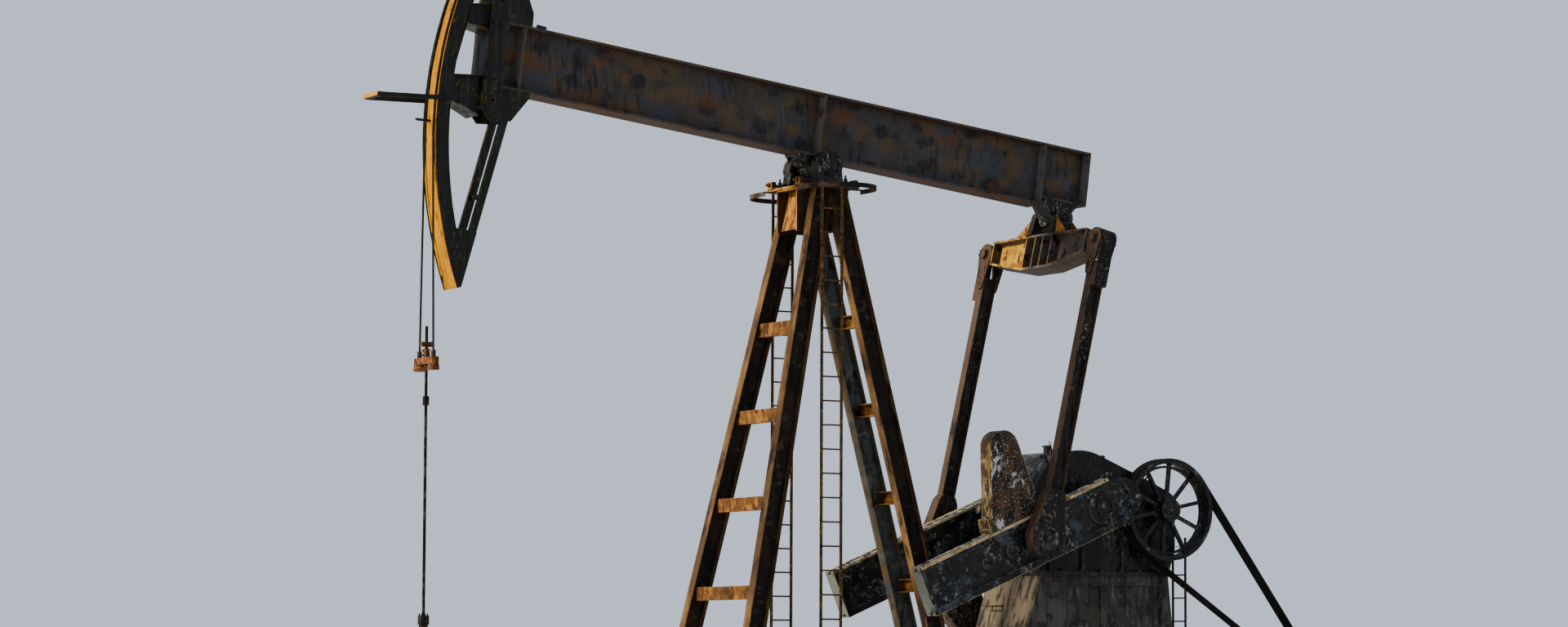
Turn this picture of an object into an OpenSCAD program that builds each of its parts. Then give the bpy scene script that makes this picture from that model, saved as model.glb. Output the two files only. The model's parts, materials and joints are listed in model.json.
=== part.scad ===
// Crank-balanced beam pumping unit: samson post, walking beam with horsehead, gearbox, cranks and wellhead.
// Frame: millimetres, +Z up, origin on the ground straight below the saddle bearing.
// -X points to the well, +X to the gearbox and the motor, -Y is the near side.

/* [Walking beam] */
// Height of the saddle bearing axis above the ground
saddle_z = 7480; // [7000:10:8000]
// Tilt of the beam at rest, head up
beam_tilt = 7; // [4:0.5:8]
// From the end of the beam to the head's face
head_reach = 760; // [740:5:800]
// Beam length from the saddle axis to the rear end
beam_tail = 4100; // [4050:10:4300]
// Depth of the beam
beam_depth = 830; // [780:10:860]
// Width of the beam flanges
beam_width = 350; // [330:5:370]
// Thickness of the beam flanges
beam_flange = 30; // [20:2:40]
// Thickness of the beam web
beam_web = 24; // [16:2:36]
// Height of the beam's underside above the saddle axis
beam_seat = 130; // [120:1:140]
// Distance from the saddle axis to the tail pin
tail_arm = 3700; // [3600:10:3780]
// Height by which the beam's underside steps up at the tail
tail_step = 100; // [80:5:120]
// From the saddle axis to that step
step_x = 3400; // [3380:5:3430]

/* [Head] */
// Outer radius of the head's face, measured from the saddle axis
head_r = 5400; // [5320:5:5450]
// Angle of the face below the beam's direction
head_low = 26.5; // [24:0.5:28]
// Angle of the face above the beam's direction
head_high = 27; // [24:0.5:29]
// Radial depth of the head's side rims
rim_depth = 150; // [130:5:180]
// Thickness of the head's side plates
side_plate = 14; // [10:1:20]
// Diameter of the wire ropes
rope_d = 28; // [20:1:34]
// Rope spacing on the head's face
rope_gap = 236; // [200:2:250]
// Rope spacing at the carrier bar
carrier_gap = 390; // [340:5:440]

/* [Samson post] */
// Height of the base frame
base_h = 350; // [300:10:400]
// Underside of the post's top plate
post_top = 7190; // [7100:5:7200]
// Front leg distance in X on the base frame
front_x = 1560; // [1450:10:1650]
// Front leg half spacing in Y on the base frame
front_y = 925; // [900:5:950]
// Front leg half spacing in Y at the top
front_top_y = 335; // [330:5:345]
// Rear leg distance in X on the base frame
rear_x = 1966; // [1850:10:2050]
// Rear leg half spacing in Y
rear_y = 335; // [330:5:345]
// Depth of a leg's section in X
leg_depth = 250; // [220:10:270]
// Width of a leg's section in Y
leg_width = 150; // [120:5:155]
// Thickness of the leg flanges
leg_flange = 16; // [10:1:22]
// Thickness of the leg webs
leg_web = 14; // [8:1:20]
// Depth of the cross braces
brace_depth = 170; // [140:5:200]
// Width of a ladder
ladder_w = 290; // [260:5:320]
// Distance between two rungs
rung_pitch = 305; // [280:5:330]
// Height of the lowest brace between the front legs
brace_z = 2040; // [1900:10:2200]
// Distance between braces
brace_pitch = 1120; // [1000:10:1150]
// The rear braces stand higher than the front ones by
brace_step = 135; // [0:5:200]
// Distance of the ladders from the centre plane
ladder_y = 620; // [600:5:650]

/* [Gearbox and pedestal] */
// Distance in X from the saddle axis to the slow shaft
crank_x = 3709; // [3650:5:3760]
// Height of the slow shaft
shaft_z = 3200; // [3150:5:3250]
// Half width of the gearbox
gear_half = 620; // [560:5:640]
// Radius of the rounded cover over the slow shaft
cover_r = 757; // [700:5:800]
// Height of the pedestal's top
pedestal_z = 2330; // [2250:5:2380]
// Half width of the pedestal
pedestal_half = 620; // [600:5:640]
// Radius of the slow shaft
shaft_r = 140; // [110:5:150]

/* [Cranks] */
// Slope of the cranks below the horizontal at rest
crank_angle = 22.9; // [15:0.1:30]
// Crank length from the shaft to the long end
crank_long = 2920; // [2800:10:2940]
// Crank length from the shaft to the short end
crank_short = 580; // [520:10:640]
// Depth of the cranks
crank_depth = 640; // [580:10:680]
// Inner face of the cranks, from the centre plane
crank_in = 955; // [950:1:965]
// Thickness of the cranks
crank_t = 210; // [180:5:212]
// Crank radius of the wrist pin
pin_r = 1098; // [1080:1:1110]
// Height of a weight above the edge of its crank
weight_h = 1165; // [1120:5:1200]
// Thickness of a weight
weight_t = 240; // [200:5:240]

/* [Equalizer and pitmans] */
// Half distance between the pitman planes
pitman_y = 1293; // [1290:1:1310]
// Thickness of a pitman
pitman_t = 180; // [150:2:190]
// Distance from the tail pin down to the pitmans' upper pins
equalizer_drop = 400; // [380:5:430]
// Width of a pitman's bar
pitman_w = 200; // [180:5:240]
// Depth of the equalizer in the middle
equalizer_depth = 470; // [440:5:500]
// Radius of the wrist bearing housing
wrist_r = 250; // [220:5:265]

/* [Belt drive] */
// Distance in X of the sheave shaft
sheave_x = 4940; // [4920:5:4980]
// Radius of the sheave
sheave_r = 664; // [640:1:680]
// Inner face of the sheave, from the centre plane
sheave_in = 690; // [690:2:700]
// Width of the sheave's rim
sheave_w = 215; // [200:5:220]
// Number of spokes
spokes = 10; // [6:1:12]
// Distance in X of the motor shaft
motor_x = 7100; // [7000:10:7200]
// Height of the motor shaft
motor_z = 1190; // [1150:5:1250]
// Radius of the motor pulley
pulley_r = 150; // [120:2:160]
// Thickness of the belts
belt_t = 16; // [10:1:20]

/* [Well] */
// Height of the carrier bar's middle
carrier_z = 4770; // [4600:10:4900]
// Diameter of the polished rod
rod_d = 38; // [32:1:42]
// Height of the stuffing box
stuffing_z = 1714; // [1600:2:1760]

/* [Hidden] */
$fn = 48;
beam_head = head_r - head_reach;  // end of the beam, from the saddle axis
fit = 0.3;                       // gap where curved faces meet
run = 0.5;                       // running clearance round a shaft
sides = [-1, 1];                 // near side, far side
beam_top = beam_seat + beam_depth;
tail_x = tail_arm * cos(beam_tilt);
tail_z = saddle_z - tail_arm * sin(beam_tilt);
wrist_x = crank_x - pin_r * cos(crank_angle);
wrist_z = shaft_z - pin_r * sin(crank_angle);
pitman_lean = atan2(tail_x - wrist_x, tail_z - wrist_z);
pitman_len = norm([tail_x - wrist_x, tail_z - wrist_z]) - equalizer_drop;
pitman_in = pitman_y - pitman_t / 2;
crank_out = crank_in + crank_t;
crank_mid = crank_in + crank_t / 2;
face_t = 15;
face_in = head_r - face_t;
rim_in = face_in - fit - rim_depth;
head_width = beam_width + 2 * side_plate + 2;  // the side plates clasp the end of the beam
side_in = head_width / 2 - side_plate;
rope_r = head_r + fit + rope_d / 2;
rod_x = -rope_r;
rail_y = 800;                    // base rails: middle plane and width
rail_w = 200;
rail_front = -2050;
rail_back = 7750;
foot_t = 25;
leg_z0 = base_h + foot_t;
front_top_x = 60;                // leg centre lines just under the top plate
rear_top_x = 128;
miter_x = 40;                    // front and rear legs meet at this plane
mid_x = -78;                     // plane of the ladders
deck_t = 30;
deck_x = 400;
deck_y = 500;
deck_top = post_top + deck_t;
saddle_shaft_r = 75;
tail_shaft_r = 60;
gear_front = crank_x - cover_r;
gear_back = 5200;
sheave_shaft_r = 60;
sheave_out = sheave_in + sheave_w;
stand_x0 = motor_x - 560;
stand_x1 = motor_x + 560;
stand_z = motor_z - 330;
rope_low = -beam_tilt;           // the ropes leave the face level with the saddle

// Extrudes an outline drawn in X and Z from Y = y0 to Y = y1
module xz_plate(y0, y1) {
    translate([0, y1, 0]) rotate([90, 0, 0]) linear_extrude(y1 - y0) children();
}

// Extrudes a section drawn in Y and Z from X = x0 to X = x1
module x_bar(x0, x1) {
    translate([x0, 0, 0]) rotate([90, 0, 90]) linear_extrude(x1 - x0) children();
}

// A round bar along Y
module y_rod(r, y0, y1, x = 0, z = 0) {
    translate([x, y1, z]) rotate([90, 0, 0]) cylinder(h = y1 - y0, r = r);
}

// A plate that lies outside the centre plane: s is -1 for the near side, 1 for the far side
module side_plate_xz(s, inner, outer) {
    xz_plate(s > 0 ? inner : -outer, s > 0 ? outer : -inner) children();
}

// A round bar on one side of the centre plane
module side_rod(s, r, inner, outer, x = 0, z = 0) {
    y_rod(r, s > 0 ? inner : -outer, s > 0 ? outer : -inner, x, z);
}

// Section of an I-beam: depth along the first axis, width along the second
module i_section(depth, width, flange, web) {
    for (s = sides)
        translate([s * (depth - flange) / 2, 0]) square([flange, width], center = true);
    square([depth, web], center = true);
}

// Section of a channel: web at the left, open to the right
module channel_section(depth, height, t) {
    difference() {
        translate([0, -height / 2]) square([depth, height]);
        translate([t, -height / 2 + t]) square([depth, height - 2 * t]);
    }
}

// Ring sector about the origin; angles run upwards from the -X axis
module sector(r0, r1, a0, a1) {
    far = 2 * r1;
    intersection() {
        difference() {
            circle(r1, $fn = 360);
            circle(r0, $fn = 360);
        }
        polygon([[0, 0], [-far * cos(a0), far * sin(a0)],
            [-far * cos((a0 + a1) / 2), far * sin((a0 + a1) / 2)], [-far * cos(a1), far * sin(a1)]]);
    }
}

module on_beam() { translate([0, 0, saddle_z]) rotate([0, beam_tilt, 0]) children(); }
module on_crank() { translate([crank_x, 0, shaft_z]) rotate([0, -crank_angle, 0]) children(); }
module on_pitman() { translate([wrist_x, 0, wrist_z]) rotate([0, pitman_lean, 0]) children(); }

// Hexagon bolt head that stands on the plane z = 0
module bolt(d = 48, h = 30) { cylinder(h = h, r = d / 2, $fn = 6); }

// Base frame

module base_rail(s) {
    color("dimgray") difference() {
        translate([0, s * rail_y, base_h / 2])
            x_bar(rail_front, rail_back) rotate(90) i_section(base_h, rail_w, 22, 14);
        for (x = [-1850, 300, 2300, 4400, 6400, 7600], side = sides)
            translate([x, s * rail_y + side * 60, -1]) cylinder(h = 30, r = 17, $fn = 24);
    }
}

// An I-beam along Y that lies on the ground
module cross_beam(x, y0, y1, width) {
    translate([x, y0, base_h / 2]) rotate([-90, 0, 0]) linear_extrude(y1 - y0)
        rotate(90) i_section(base_h, width, 22, 14);
}

module base_cross_members() {
    inner = rail_y - rail_w / 2;
    outer = rail_y + rail_w / 2;
    color("dimgray") {
        for (x = [-front_x, rear_x, 2760, 5000, stand_x0 + 110, stand_x1 - 110])
            cross_beam(x, -inner, inner, 240);
        cross_beam(mid_x, -inner, inner, ladder_w + 70);
        for (s = sides)
            cross_beam(-front_x, s > 0 ? outer : -outer - 200, s > 0 ? outer + 200 : -outer, 240);
    }
}

// Samson post

// Places children along the centre line of a leg, with the section's depth in X
module on_leg(p, q) {
    d = q - p;
    translate(p) rotate([-asin(d.y / norm(d)), atan2(d.x, d.z), 0]) children();
}

function front_foot(s) = [-front_x, s * front_y, leg_z0];
function front_head(s) = [-front_top_x, s * front_top_y, post_top];
function rear_foot(s) = [rear_x, s * rear_y, leg_z0];
function rear_head(s) = [rear_top_x, s * rear_y, post_top];

module leg(p, q, back) {
    long = norm(q - p) + 600;
    intersection() {
        on_leg(p, q) translate([0, 0, -300]) linear_extrude(long)
            i_section(leg_depth, leg_width, leg_flange, leg_web);
        translate([back ? miter_x : miter_x - 6000, -3000, leg_z0]) cube([6000, 6000, post_top - leg_z0]);
    }
    translate([p.x - 200, p.y - 140, base_h]) cube([400, 280, foot_t]);
    for (s = sides, t = sides)
        translate([p.x + s * 165, p.y + t * 105, leg_z0]) bolt();
}

// Half space on the outer side of a leg's web, used to cut the braces to length
module beyond_web(p, q, s) {
    on_leg(p, q) translate([-500, s > 0 ? -leg_web / 2 : -2000 + leg_web / 2, -500])
        cube([1000, 2000, norm(q - p) + 1000]);
}

function between(p, q, z) = p + (q - p) * (z - p.z) / (q.z - p.z);

// A channel across two legs; open is 1 when its flanges point to +X
module brace(p_near, q_near, p_far, q_far, z, open) {
    x = between(p_far, q_far, z).x;
    y = between(p_far, q_far, z).y;
    difference() {
        translate([x - open * 70, -y, z]) rotate([-90, 0, 0]) linear_extrude(2 * y)
            rotate(open > 0 ? 0 : 180) channel_section(90, brace_depth, 12);
        beyond_web(p_near, q_near, -1);
        beyond_web(p_far, q_far, 1);
    }
}

module front_braces() {
    color("sienna") for (z = [brace_z : brace_pitch : brace_z + 3 * brace_pitch])
        brace(front_foot(-1), front_head(-1), front_foot(1), front_head(1), z, 1);
}

module rear_braces() {
    color("sienna") for (z = [brace_z + brace_step : brace_pitch : brace_z + brace_step + 3 * brace_pitch])
        brace(rear_foot(-1), rear_head(-1), rear_foot(1), rear_head(1), z, -1);
}

// Box between the legs, top plate and the screws that set the saddle bearings
module post_head() {
    box_y = rear_y - leg_width / 2 - 6;
    box_z = post_top - 550;
    color("saddlebrown") {
        difference() {
            translate([-380, -box_y, box_z]) cube([760, 2 * box_y, post_top - box_z]);
            translate([-400, -box_y + 20, box_z - 40]) cube([800, 2 * box_y - 40, post_top - box_z + 20]);
        }
        // Plates between the sides, which lean as the legs do
        for (s = sides) xz_plate(-box_y + 20, box_y - 20)
            polygon([[s * 322, box_z + 30], [s * 302, box_z + 30], [s * 190, post_top - 20], [s * 210, post_top - 20]]);
        translate([-deck_x, -deck_y, post_top]) cube([2 * deck_x, 2 * deck_y, deck_t]);
        for (s = sides, t = sides) {
            translate([s * deck_x - 30, t * 355 - 60, deck_top]) cube([60, 120, 90]);
            translate([s > 0 ? 320 : -490, t * 355, deck_top + 50]) rotate([0, 90, 0])
                cylinder(h = 170, r = 16, $fn = 24);
            translate([s > 0 ? deck_x + 30 : -deck_x - 60, t * 355, deck_top + 50]) rotate([0, 90, 0]) bolt(60, 30);
        }
    }
}

module saddle_bearings() {
    y0 = 260;
    y1 = 450;
    color("dimgray") for (s = sides) {
        difference() {
            side_plate_xz(s, y0, y1) {
                translate([0, saddle_z]) circle(180);
                polygon([[-300, deck_top], [-300, deck_top + 60], [-185, deck_top + 60], [-168, saddle_z - 60],
                    [168, saddle_z - 60], [185, deck_top + 60], [300, deck_top + 60], [300, deck_top]]);
            }
            side_rod(s, saddle_shaft_r + run, y0 - 1, y1 - 30, 0, saddle_z);
        }
        for (x = sides, y = [y0 + 40, y1 - 40])
            translate([x * 245, s * y, deck_top + 56]) bolt(44, 34);
        side_rod(s, 120, y1, y1 + 14, 0, saddle_z);
    }
}

// Ladders

module ladder(s) {
    first = base_h + 150;
    rungs = floor((post_top - first) / rung_pitch);
    color("peru") {
        for (t = sides)
            translate([mid_x + t * ladder_w / 2 - 20, s * ladder_y - 6, base_h]) cube([40, 12, post_top + 60 - base_h]);
        for (i = [0:rungs])
            translate([mid_x - ladder_w / 2, s * ladder_y, first + i * rung_pitch]) rotate([0, 90, 0])
                cylinder(h = ladder_w, r = 11, $fn = 8);
        for (t = sides, z = [post_top])
            translate([mid_x + t * ladder_w / 2 - 20, s > 0 ? deck_y : -ladder_y, z]) cube([40, ladder_y - deck_y, 12]);
    }
}

// Half rings of flat bar round the tops of the ladders
module ladder_hoops() {
    r = 480;
    color("peru") for (s = sides) {
        translate([0, s * 650, post_top - 60]) linear_extrude(60) {
            intersection() {
                difference() {
                    circle(r, $fn = 96);
                    circle(r - 12, $fn = 96);
                }
                translate([-600, s > 0 ? 0 : -600]) square([1200, 600]);
            }
            for (t = sides)
                translate([t > 0 ? r - 12 : -r, s > 0 ? -250 : 0]) square([12, 250]);
        }
        for (t = sides)
            translate([t > 0 ? deck_x - 60 : -r + 12, s > 0 ? 400 : -460, post_top - 14])
                cube([r - 12 - deck_x + 60, 60, 14]);
    }
}

// Pedestal and gearbox

pedestal_flare = [tan(16.5), tan(6)];
function pedestal_front(z) = gear_front + 128 - (pedestal_z - z) * pedestal_flare[0];
function pedestal_back(z) = gear_back - 115 + (pedestal_z - z) * pedestal_flare[1];

module pedestal() {
    color("gray") {
        difference() {
            xz_plate(-pedestal_half, pedestal_half)
                polygon([[pedestal_front(base_h), base_h], [pedestal_front(pedestal_z), pedestal_z],
                    [pedestal_back(pedestal_z), pedestal_z], [pedestal_back(base_h), base_h]]);
            for (s = sides) side_plate_xz(s, pedestal_half - 40, pedestal_half + 10)
                for (x = [0, 1]) translate([pedestal_front(pedestal_z) + 80 + x * 945, base_h + 120])
                    square([870, pedestal_z - base_h - 240]);
        }
    }
}

// Step irons on the front face and a short ladder behind the pedestal
module pedestal_ladders() {
    color("peru") {
        for (i = [0:4], t = sides) let (z = 700 + i * rung_pitch, x = pedestal_front(z)) {
            translate([x - 150, 220 + t * 120 - 9, z]) cube([150 - fit, 18, 18]);
            if (t > 0) translate([x - 150, 100, z]) cube([18, 240, 18]);
        }
        for (t = sides)
            translate([5330, -520 + t * 140 - 20, base_h]) cube([12, 40, 2500]);
        for (i = [0:7])
            y_rod(10, -660, -380, 5336, base_h + 180 + i * rung_pitch, $fn = 8);
        for (t = sides)
            translate([gear_back, -520 + t * 140 - 20, 2720]) cube([130, 40, 12]);
    }
}

module gearbox_outline() {
    polygon([[pedestal_front(pedestal_z) + 10, pedestal_z], [gear_front, shaft_z], [gear_back, shaft_z],
        [gear_back, 2700], [pedestal_back(pedestal_z), pedestal_z]]);
}

module gearbox_bores() {
    y_rod(shaft_r + run, -1000, 1000, crank_x, shaft_z);
    y_rod(sheave_shaft_r + run, -1000, 1000, sheave_x, shaft_z);
}

module below(z) {
    intersection() {
        children();
        translate([0, -2000, z - 4000]) cube([9000, 4000, 4000]);
    }
}

module above(z) {
    intersection() {
        children();
        translate([0, -2000, z]) cube([9000, 4000, 4000]);
    }
}

// Round bearing bosses of both shafts
module shaft_bosses() {
    for (s = sides) {
        side_rod(s, 250, gear_half, gear_half + 110, crank_x, shaft_z);
        side_rod(s, 130, gear_half, gear_half + 60, sheave_x, shaft_z);
    }
}

module gearbox_case() {
    flange = 45;
    color("darkslategray") {
        difference() {
            union() {
                xz_plate(-gear_half, gear_half) gearbox_outline();
                translate([gear_front - 50, -gear_half - 40, shaft_z - flange])
                    cube([gear_back - gear_front + 80, 2 * gear_half + 80, flange]);
                translate([pedestal_front(pedestal_z) - 40, -gear_half - 60, pedestal_z])
                    cube([pedestal_back(pedestal_z) - pedestal_front(pedestal_z) + 80, 2 * gear_half + 120, 50]);
                below(shaft_z) shaft_bosses();
                for (s = sides, x = [gear_front + 250, crank_x, crank_x + 620])
                    translate([x - 15, s > 0 ? gear_half : -gear_half - 50, pedestal_z])
                        cube([30, 50, shaft_z - pedestal_z]);
            }
            gearbox_bores();
        }
        for (x = [pedestal_front(pedestal_z) + 20 : 300 : pedestal_back(pedestal_z)], s = sides)
            translate([x, s * (gear_half + 30), pedestal_z + 50]) bolt(50, 32);
    }
}

module gearbox_cover() {
    flange = 45;
    color("darkslategray") {
        difference() {
            union() {
                above(shaft_z) {
                    xz_plate(-gear_half, gear_half) {
                        translate([crank_x, shaft_z]) circle(cover_r, $fn = 96);
                        polygon([[crank_x, shaft_z], [crank_x + cover_r * sin(22), shaft_z + cover_r * cos(22)],
                            [4700, 3620], [gear_back - 100, 3450], [gear_back, 3380], [gear_back, shaft_z]]);
                    }
                    shaft_bosses();
                }
                translate([gear_front - 50, -gear_half - 40, shaft_z])
                    cube([gear_back - gear_front + 80, 2 * gear_half + 80, flange]);
                translate([crank_x, -gear_half, shaft_z]) rotate([0, 28, 0])
                    translate([-15, 0, 0]) cube([30, 2 * gear_half, cover_r + 30]);
            }
            gearbox_bores();
        }
        for (x = [gear_front : 262 : gear_back], s = sides)
            if (abs(x - crank_x) > 290 && abs(x - sheave_x) > 160)
                translate([x, s * (gear_half + 20), shaft_z + flange]) bolt(36, 26);
        translate([crank_x - 120, 0, shaft_z + cover_r - 30]) cylinder(h = 90, r = 45);
        translate([crank_x - 120, 0, shaft_z + cover_r + 60]) cylinder(h = 24, r = 62);
    }
}

// Motor and belts

module motor_stand() {
    color("dimgray") {
        for (s = sides, x = [stand_x0 + 70, stand_x1 - 170])
            translate([x, s > 0 ? 240 : -660, base_h]) cube([100, 420, stand_z - base_h - 60]);
        for (y = [-620, 300])
            translate([stand_x0, y, stand_z - 60]) cube([stand_x1 - stand_x0, 120, 60]);
    }
}

module motor() {
    color("slategray") {
        difference() {
            y_rod(255, -560, 330, motor_x, motor_z);
            for (i = [0:35])
                translate([motor_x, 0, motor_z]) rotate([0, 10 * i, 0])
                    translate([238, -430, -8]) cube([30, 620, 16]);
        }
        y_rod(275, -560, -470, motor_x, motor_z);
        y_rod(275, 240, 330, motor_x, motor_z);
        y_rod(200, 330, 400, motor_x, motor_z);
        y_rod(40, -sheave_out, -560, motor_x, motor_z);
        for (s = sides, y = [-560, 300])
            translate([motor_x + s * 230 - 70, y, stand_z]) cube([140, 120, 150]);
        translate([motor_x - 130, -150, motor_z + 200]) cube([260, 220, 160]);
    }
}

module motor_pulley() {
    color("dimgray") difference() {
        y_rod(pulley_r - fit, -sheave_out, -sheave_in, motor_x, motor_z);
        y_rod(40 + fit, -sheave_out - 1, -sheave_in + 1, motor_x, motor_z);
        for (s = sides) translate([motor_x, s > 0 ? -sheave_in + 1 : -sheave_out - 1 + 40, motor_z]) rotate([90, 0, 0])
            difference() {
                cylinder(h = 40, r = pulley_r - 26);
                translate([0, 0, -1]) cylinder(h = 42, r = 75);
            }
    }
}

// Points along an arc
function arc(c, r, a0, a1, n) = [for (i = [0:n]) c + r * [cos(a0 + (a1 - a0) * i / n), sin(a0 + (a1 - a0) * i / n)]];

// Outline of the belt loop, e outside both pulleys
function belt_loop(e) =
    let (p = [sheave_x, shaft_z], q = [motor_x, motor_z], r1 = sheave_r + 1 + e, r2 = pulley_r + 0.5 + e,
        d = q - p, a = atan2(d.y, d.x), b = acos((r1 - r2) / norm(d)))
    concat(arc(p, r1, a + b, a + 360 - b, 60), arc(q, r2, a - b, a + b, 40));

module drive_belts() {
    w = (sheave_w - 32) / 2;
    color("black") for (y = [sheave_in + 8, sheave_in + 24 + w])
        xz_plate(-y - w, -y) difference() {
            polygon(belt_loop(belt_t));
            polygon(belt_loop(0));
        }
}

module belt_sheave() {
    groove = 16;
    color("black") {
        // Grooved rim and the inner ring that carries it
        translate([sheave_x, -sheave_in, shaft_z]) rotate([90, 0, 0]) {
            rotate_extrude($fn = 96) difference() {
                translate([sheave_r - 52, 0]) square([52, sheave_w]);
                for (i = [0 : floor(sheave_w / 20) - 1])
                    translate([sheave_r, 10 + i * 20]) polygon([[1, -8], [1, 8], [-groove, 3], [-groove, -3]]);
            }
            translate([0, 0, 50]) difference() {
                cylinder(h = 60, r = sheave_r - 82, $fn = 96);
                translate([0, 0, -1]) cylinder(h = 62, r = sheave_r - 112, $fn = 96);
            }
            difference() {
                union() {
                    cylinder(h = sheave_w, r = 150);
                    for (i = [0 : spokes - 1]) rotate(360 / spokes * i + 12)
                        translate([90, -24, 58]) cube([sheave_r - 90 - 30, 48, 44]);
                }
                translate([0, 0, -1]) cylinder(h = sheave_w + 2, r = sheave_shaft_r + fit);
            }
        }
    }
}

// Brake drum on the far end of the fast shaft
module brake_drum() {
    color("dimgray") {
        y_rod(sheave_shaft_r, -sheave_out + 4, gear_half + 220, sheave_x, shaft_z);
        difference() {
            y_rod(200, gear_half + 110, gear_half + 200, sheave_x, shaft_z);
            y_rod(180, gear_half + 130, gear_half + 201, sheave_x, shaft_z);
        }
    }
}

// Cranks and weights

module crank(s) {
    half = crank_depth / 2;
    color("#2b2723") on_crank() difference() {
        union() {
            // Web with the tapered short end
            side_plate_xz(s, crank_in + 40, crank_out - 40)
                polygon([[-crank_long, -half], [-crank_long, half], [200, half], [crank_short - 120, half - 90],
                    [crank_short, half - 200], [crank_short, -half + 200], [crank_short - 120, -half + 90], [200, -half]]);
            // Edge flanges with their T-slots
            side_plate_xz(s, crank_in, crank_out) difference() {
                polygon([[-crank_long, -half], [-crank_long, half], [200, half], [crank_short - 120, half - 90],
                    [crank_short, half - 200], [crank_short, -half + 200], [crank_short - 120, -half + 90], [200, -half]]);
                polygon([[-crank_long + 50, -half + 80], [-crank_long + 50, half - 80], [180, half - 80],
                    [crank_short - 160, half - 160], [crank_short - 160, -half + 160], [180, -half + 80]]);
            }
            side_rod(s, 230, crank_in, crank_out);
            for (x = [pin_r, pin_r + 400, pin_r + 800]) side_rod(s, 110, crank_in, crank_out, -x);
        }
        side_rod(s, shaft_r + fit, crank_in - 1, crank_out + 1);
        for (x = [pin_r + 400, pin_r + 800]) side_rod(s, 58, crank_in - 1, crank_out + 1, -x);
        side_rod(s, 70, crank_out - 50, crank_out + 1, -pin_r);
        for (t = sides) {
            translate([-crank_long - 1, s * crank_mid - 18, t > 0 ? half - 45 : -half - 1]) cube([crank_long - 220, 36, 46]);
            translate([-crank_long - 1, s * crank_mid - 36, t > 0 ? half - 45 : -half + 23]) cube([crank_long - 220, 72, 22]);
        }
    }
}

// A weight stands on one edge of its crank: up is 1 for the upper edge, -1 for the lower
module weight(s, up) {
    foot = crank_depth / 2;
    r = 215;
    c = [-1140, foot + weight_h - r];      // centre of the rounded top
    lean = [-0.934, 0.356];                // outward from the long slanted edge
    w_in = crank_out - weight_t;
    color("#4a3d33") on_crank() mirror([0, 0, up > 0 ? 0 : 1]) {
        side_plate_xz(s, w_in, crank_out) {
            translate(c) circle(r);
            polygon([c + [r, 0], [c.x + r, foot + 253], [-1013, foot + 197], [-1000, foot + 150], [-880, foot + 80],
                [-860, foot], [-1745, foot], [-1758, foot + 48], [-1724, foot + 191], [-1658, foot + 187],
                [-1638, foot + 246], c + lean * r]);
        }
        for (x = [-900, -1700]) translate([x, s * crank_mid, foot + 60]) bolt(70, x < -1000 ? 160 : 60);
    }
}

module crank_shaft() {
    color("dimgray") {
        y_rod(shaft_r, -crank_out - 15, crank_out + 15, crank_x, shaft_z);
    }
}

// Walking beam

module walking_beam() {
    color("#5b4a3f") on_beam() {
        x_bar(-beam_head, step_x) translate([0, beam_seat + beam_depth / 2])
            rotate(90) i_section(beam_depth, beam_width, beam_flange, beam_web);
        x_bar(step_x - 1, beam_tail) translate([0, beam_top - (beam_depth - tail_step) / 2])
            rotate(90) i_section(beam_depth - tail_step, beam_width, beam_flange, beam_web);
        translate([step_x - 16, 4 - beam_width / 2, beam_seat + 5]) cube([16, beam_width - 8, beam_depth - 10]);
        // End plate and the lifting lug behind the head
        translate([beam_tail - 20, -beam_width / 2, beam_seat + tail_step])
            cube([20, beam_width, beam_depth - tail_step]);
        xz_plate(-12, 12) translate([-beam_head, beam_top])
            polygon([[510, 0], [525, 80], [650, 75], [655, 40], [726, 20], [740, 0]]);
    }
}

// Web stiffeners at the head, over the saddle and over the tail bearing
module beam_stiffeners() {
    h = beam_depth - 2 * beam_flange;
    y0 = beam_web / 2;
    color("#6b5242") on_beam() for (s = sides, x = [300 - beam_head, -10])
        translate([x, s > 0 ? y0 : -beam_width / 2 + 4, beam_seat + beam_flange])
            cube([20, beam_width / 2 - 4 - y0, h]);
}

// Block under the beam with a shaft through it; half is the half length of its foot
module shaft_block(x, r, half, y_end, block_y, seat) {
    translate([x, 0, 0]) {
        difference() {
            xz_plate(-block_y, block_y) {
                polygon([[-half, seat], [half, seat], [half, seat - 30], [r + 30, -20],
                    [r, -r], [-r, -r], [-r - 30, -20], [-half, seat - 30]]);
                circle(r + 32);
            }
            translate([-1000, -500, seat]) cube([2000, 1000, 400]);
        }
        y_rod(r, -y_end, y_end);
    }
}

module saddle_shaft() {
    color("dimgray") on_beam() shaft_block(0, saddle_shaft_r, 330, 415, beam_width / 2 - 5, beam_seat);
}

module tail_bracket() {
    color("#6b4a30") on_beam() shaft_block(tail_arm, tail_shaft_r, 260, beam_width / 2 + 138, beam_width / 2 - 5,
        beam_seat + tail_step);
}

// Head

module head_face() {
    color("goldenrod") on_beam() {
        xz_plate(-side_in, side_in) sector(face_in, head_r, -head_low, head_high);
        // Rope anchor at the top of the face
        xz_plate(-rope_gap / 2 - 26, rope_gap / 2 + 26) sector(head_r - 2, head_r + 60, head_high - 1, head_high - 0.2);
    }
}

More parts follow.
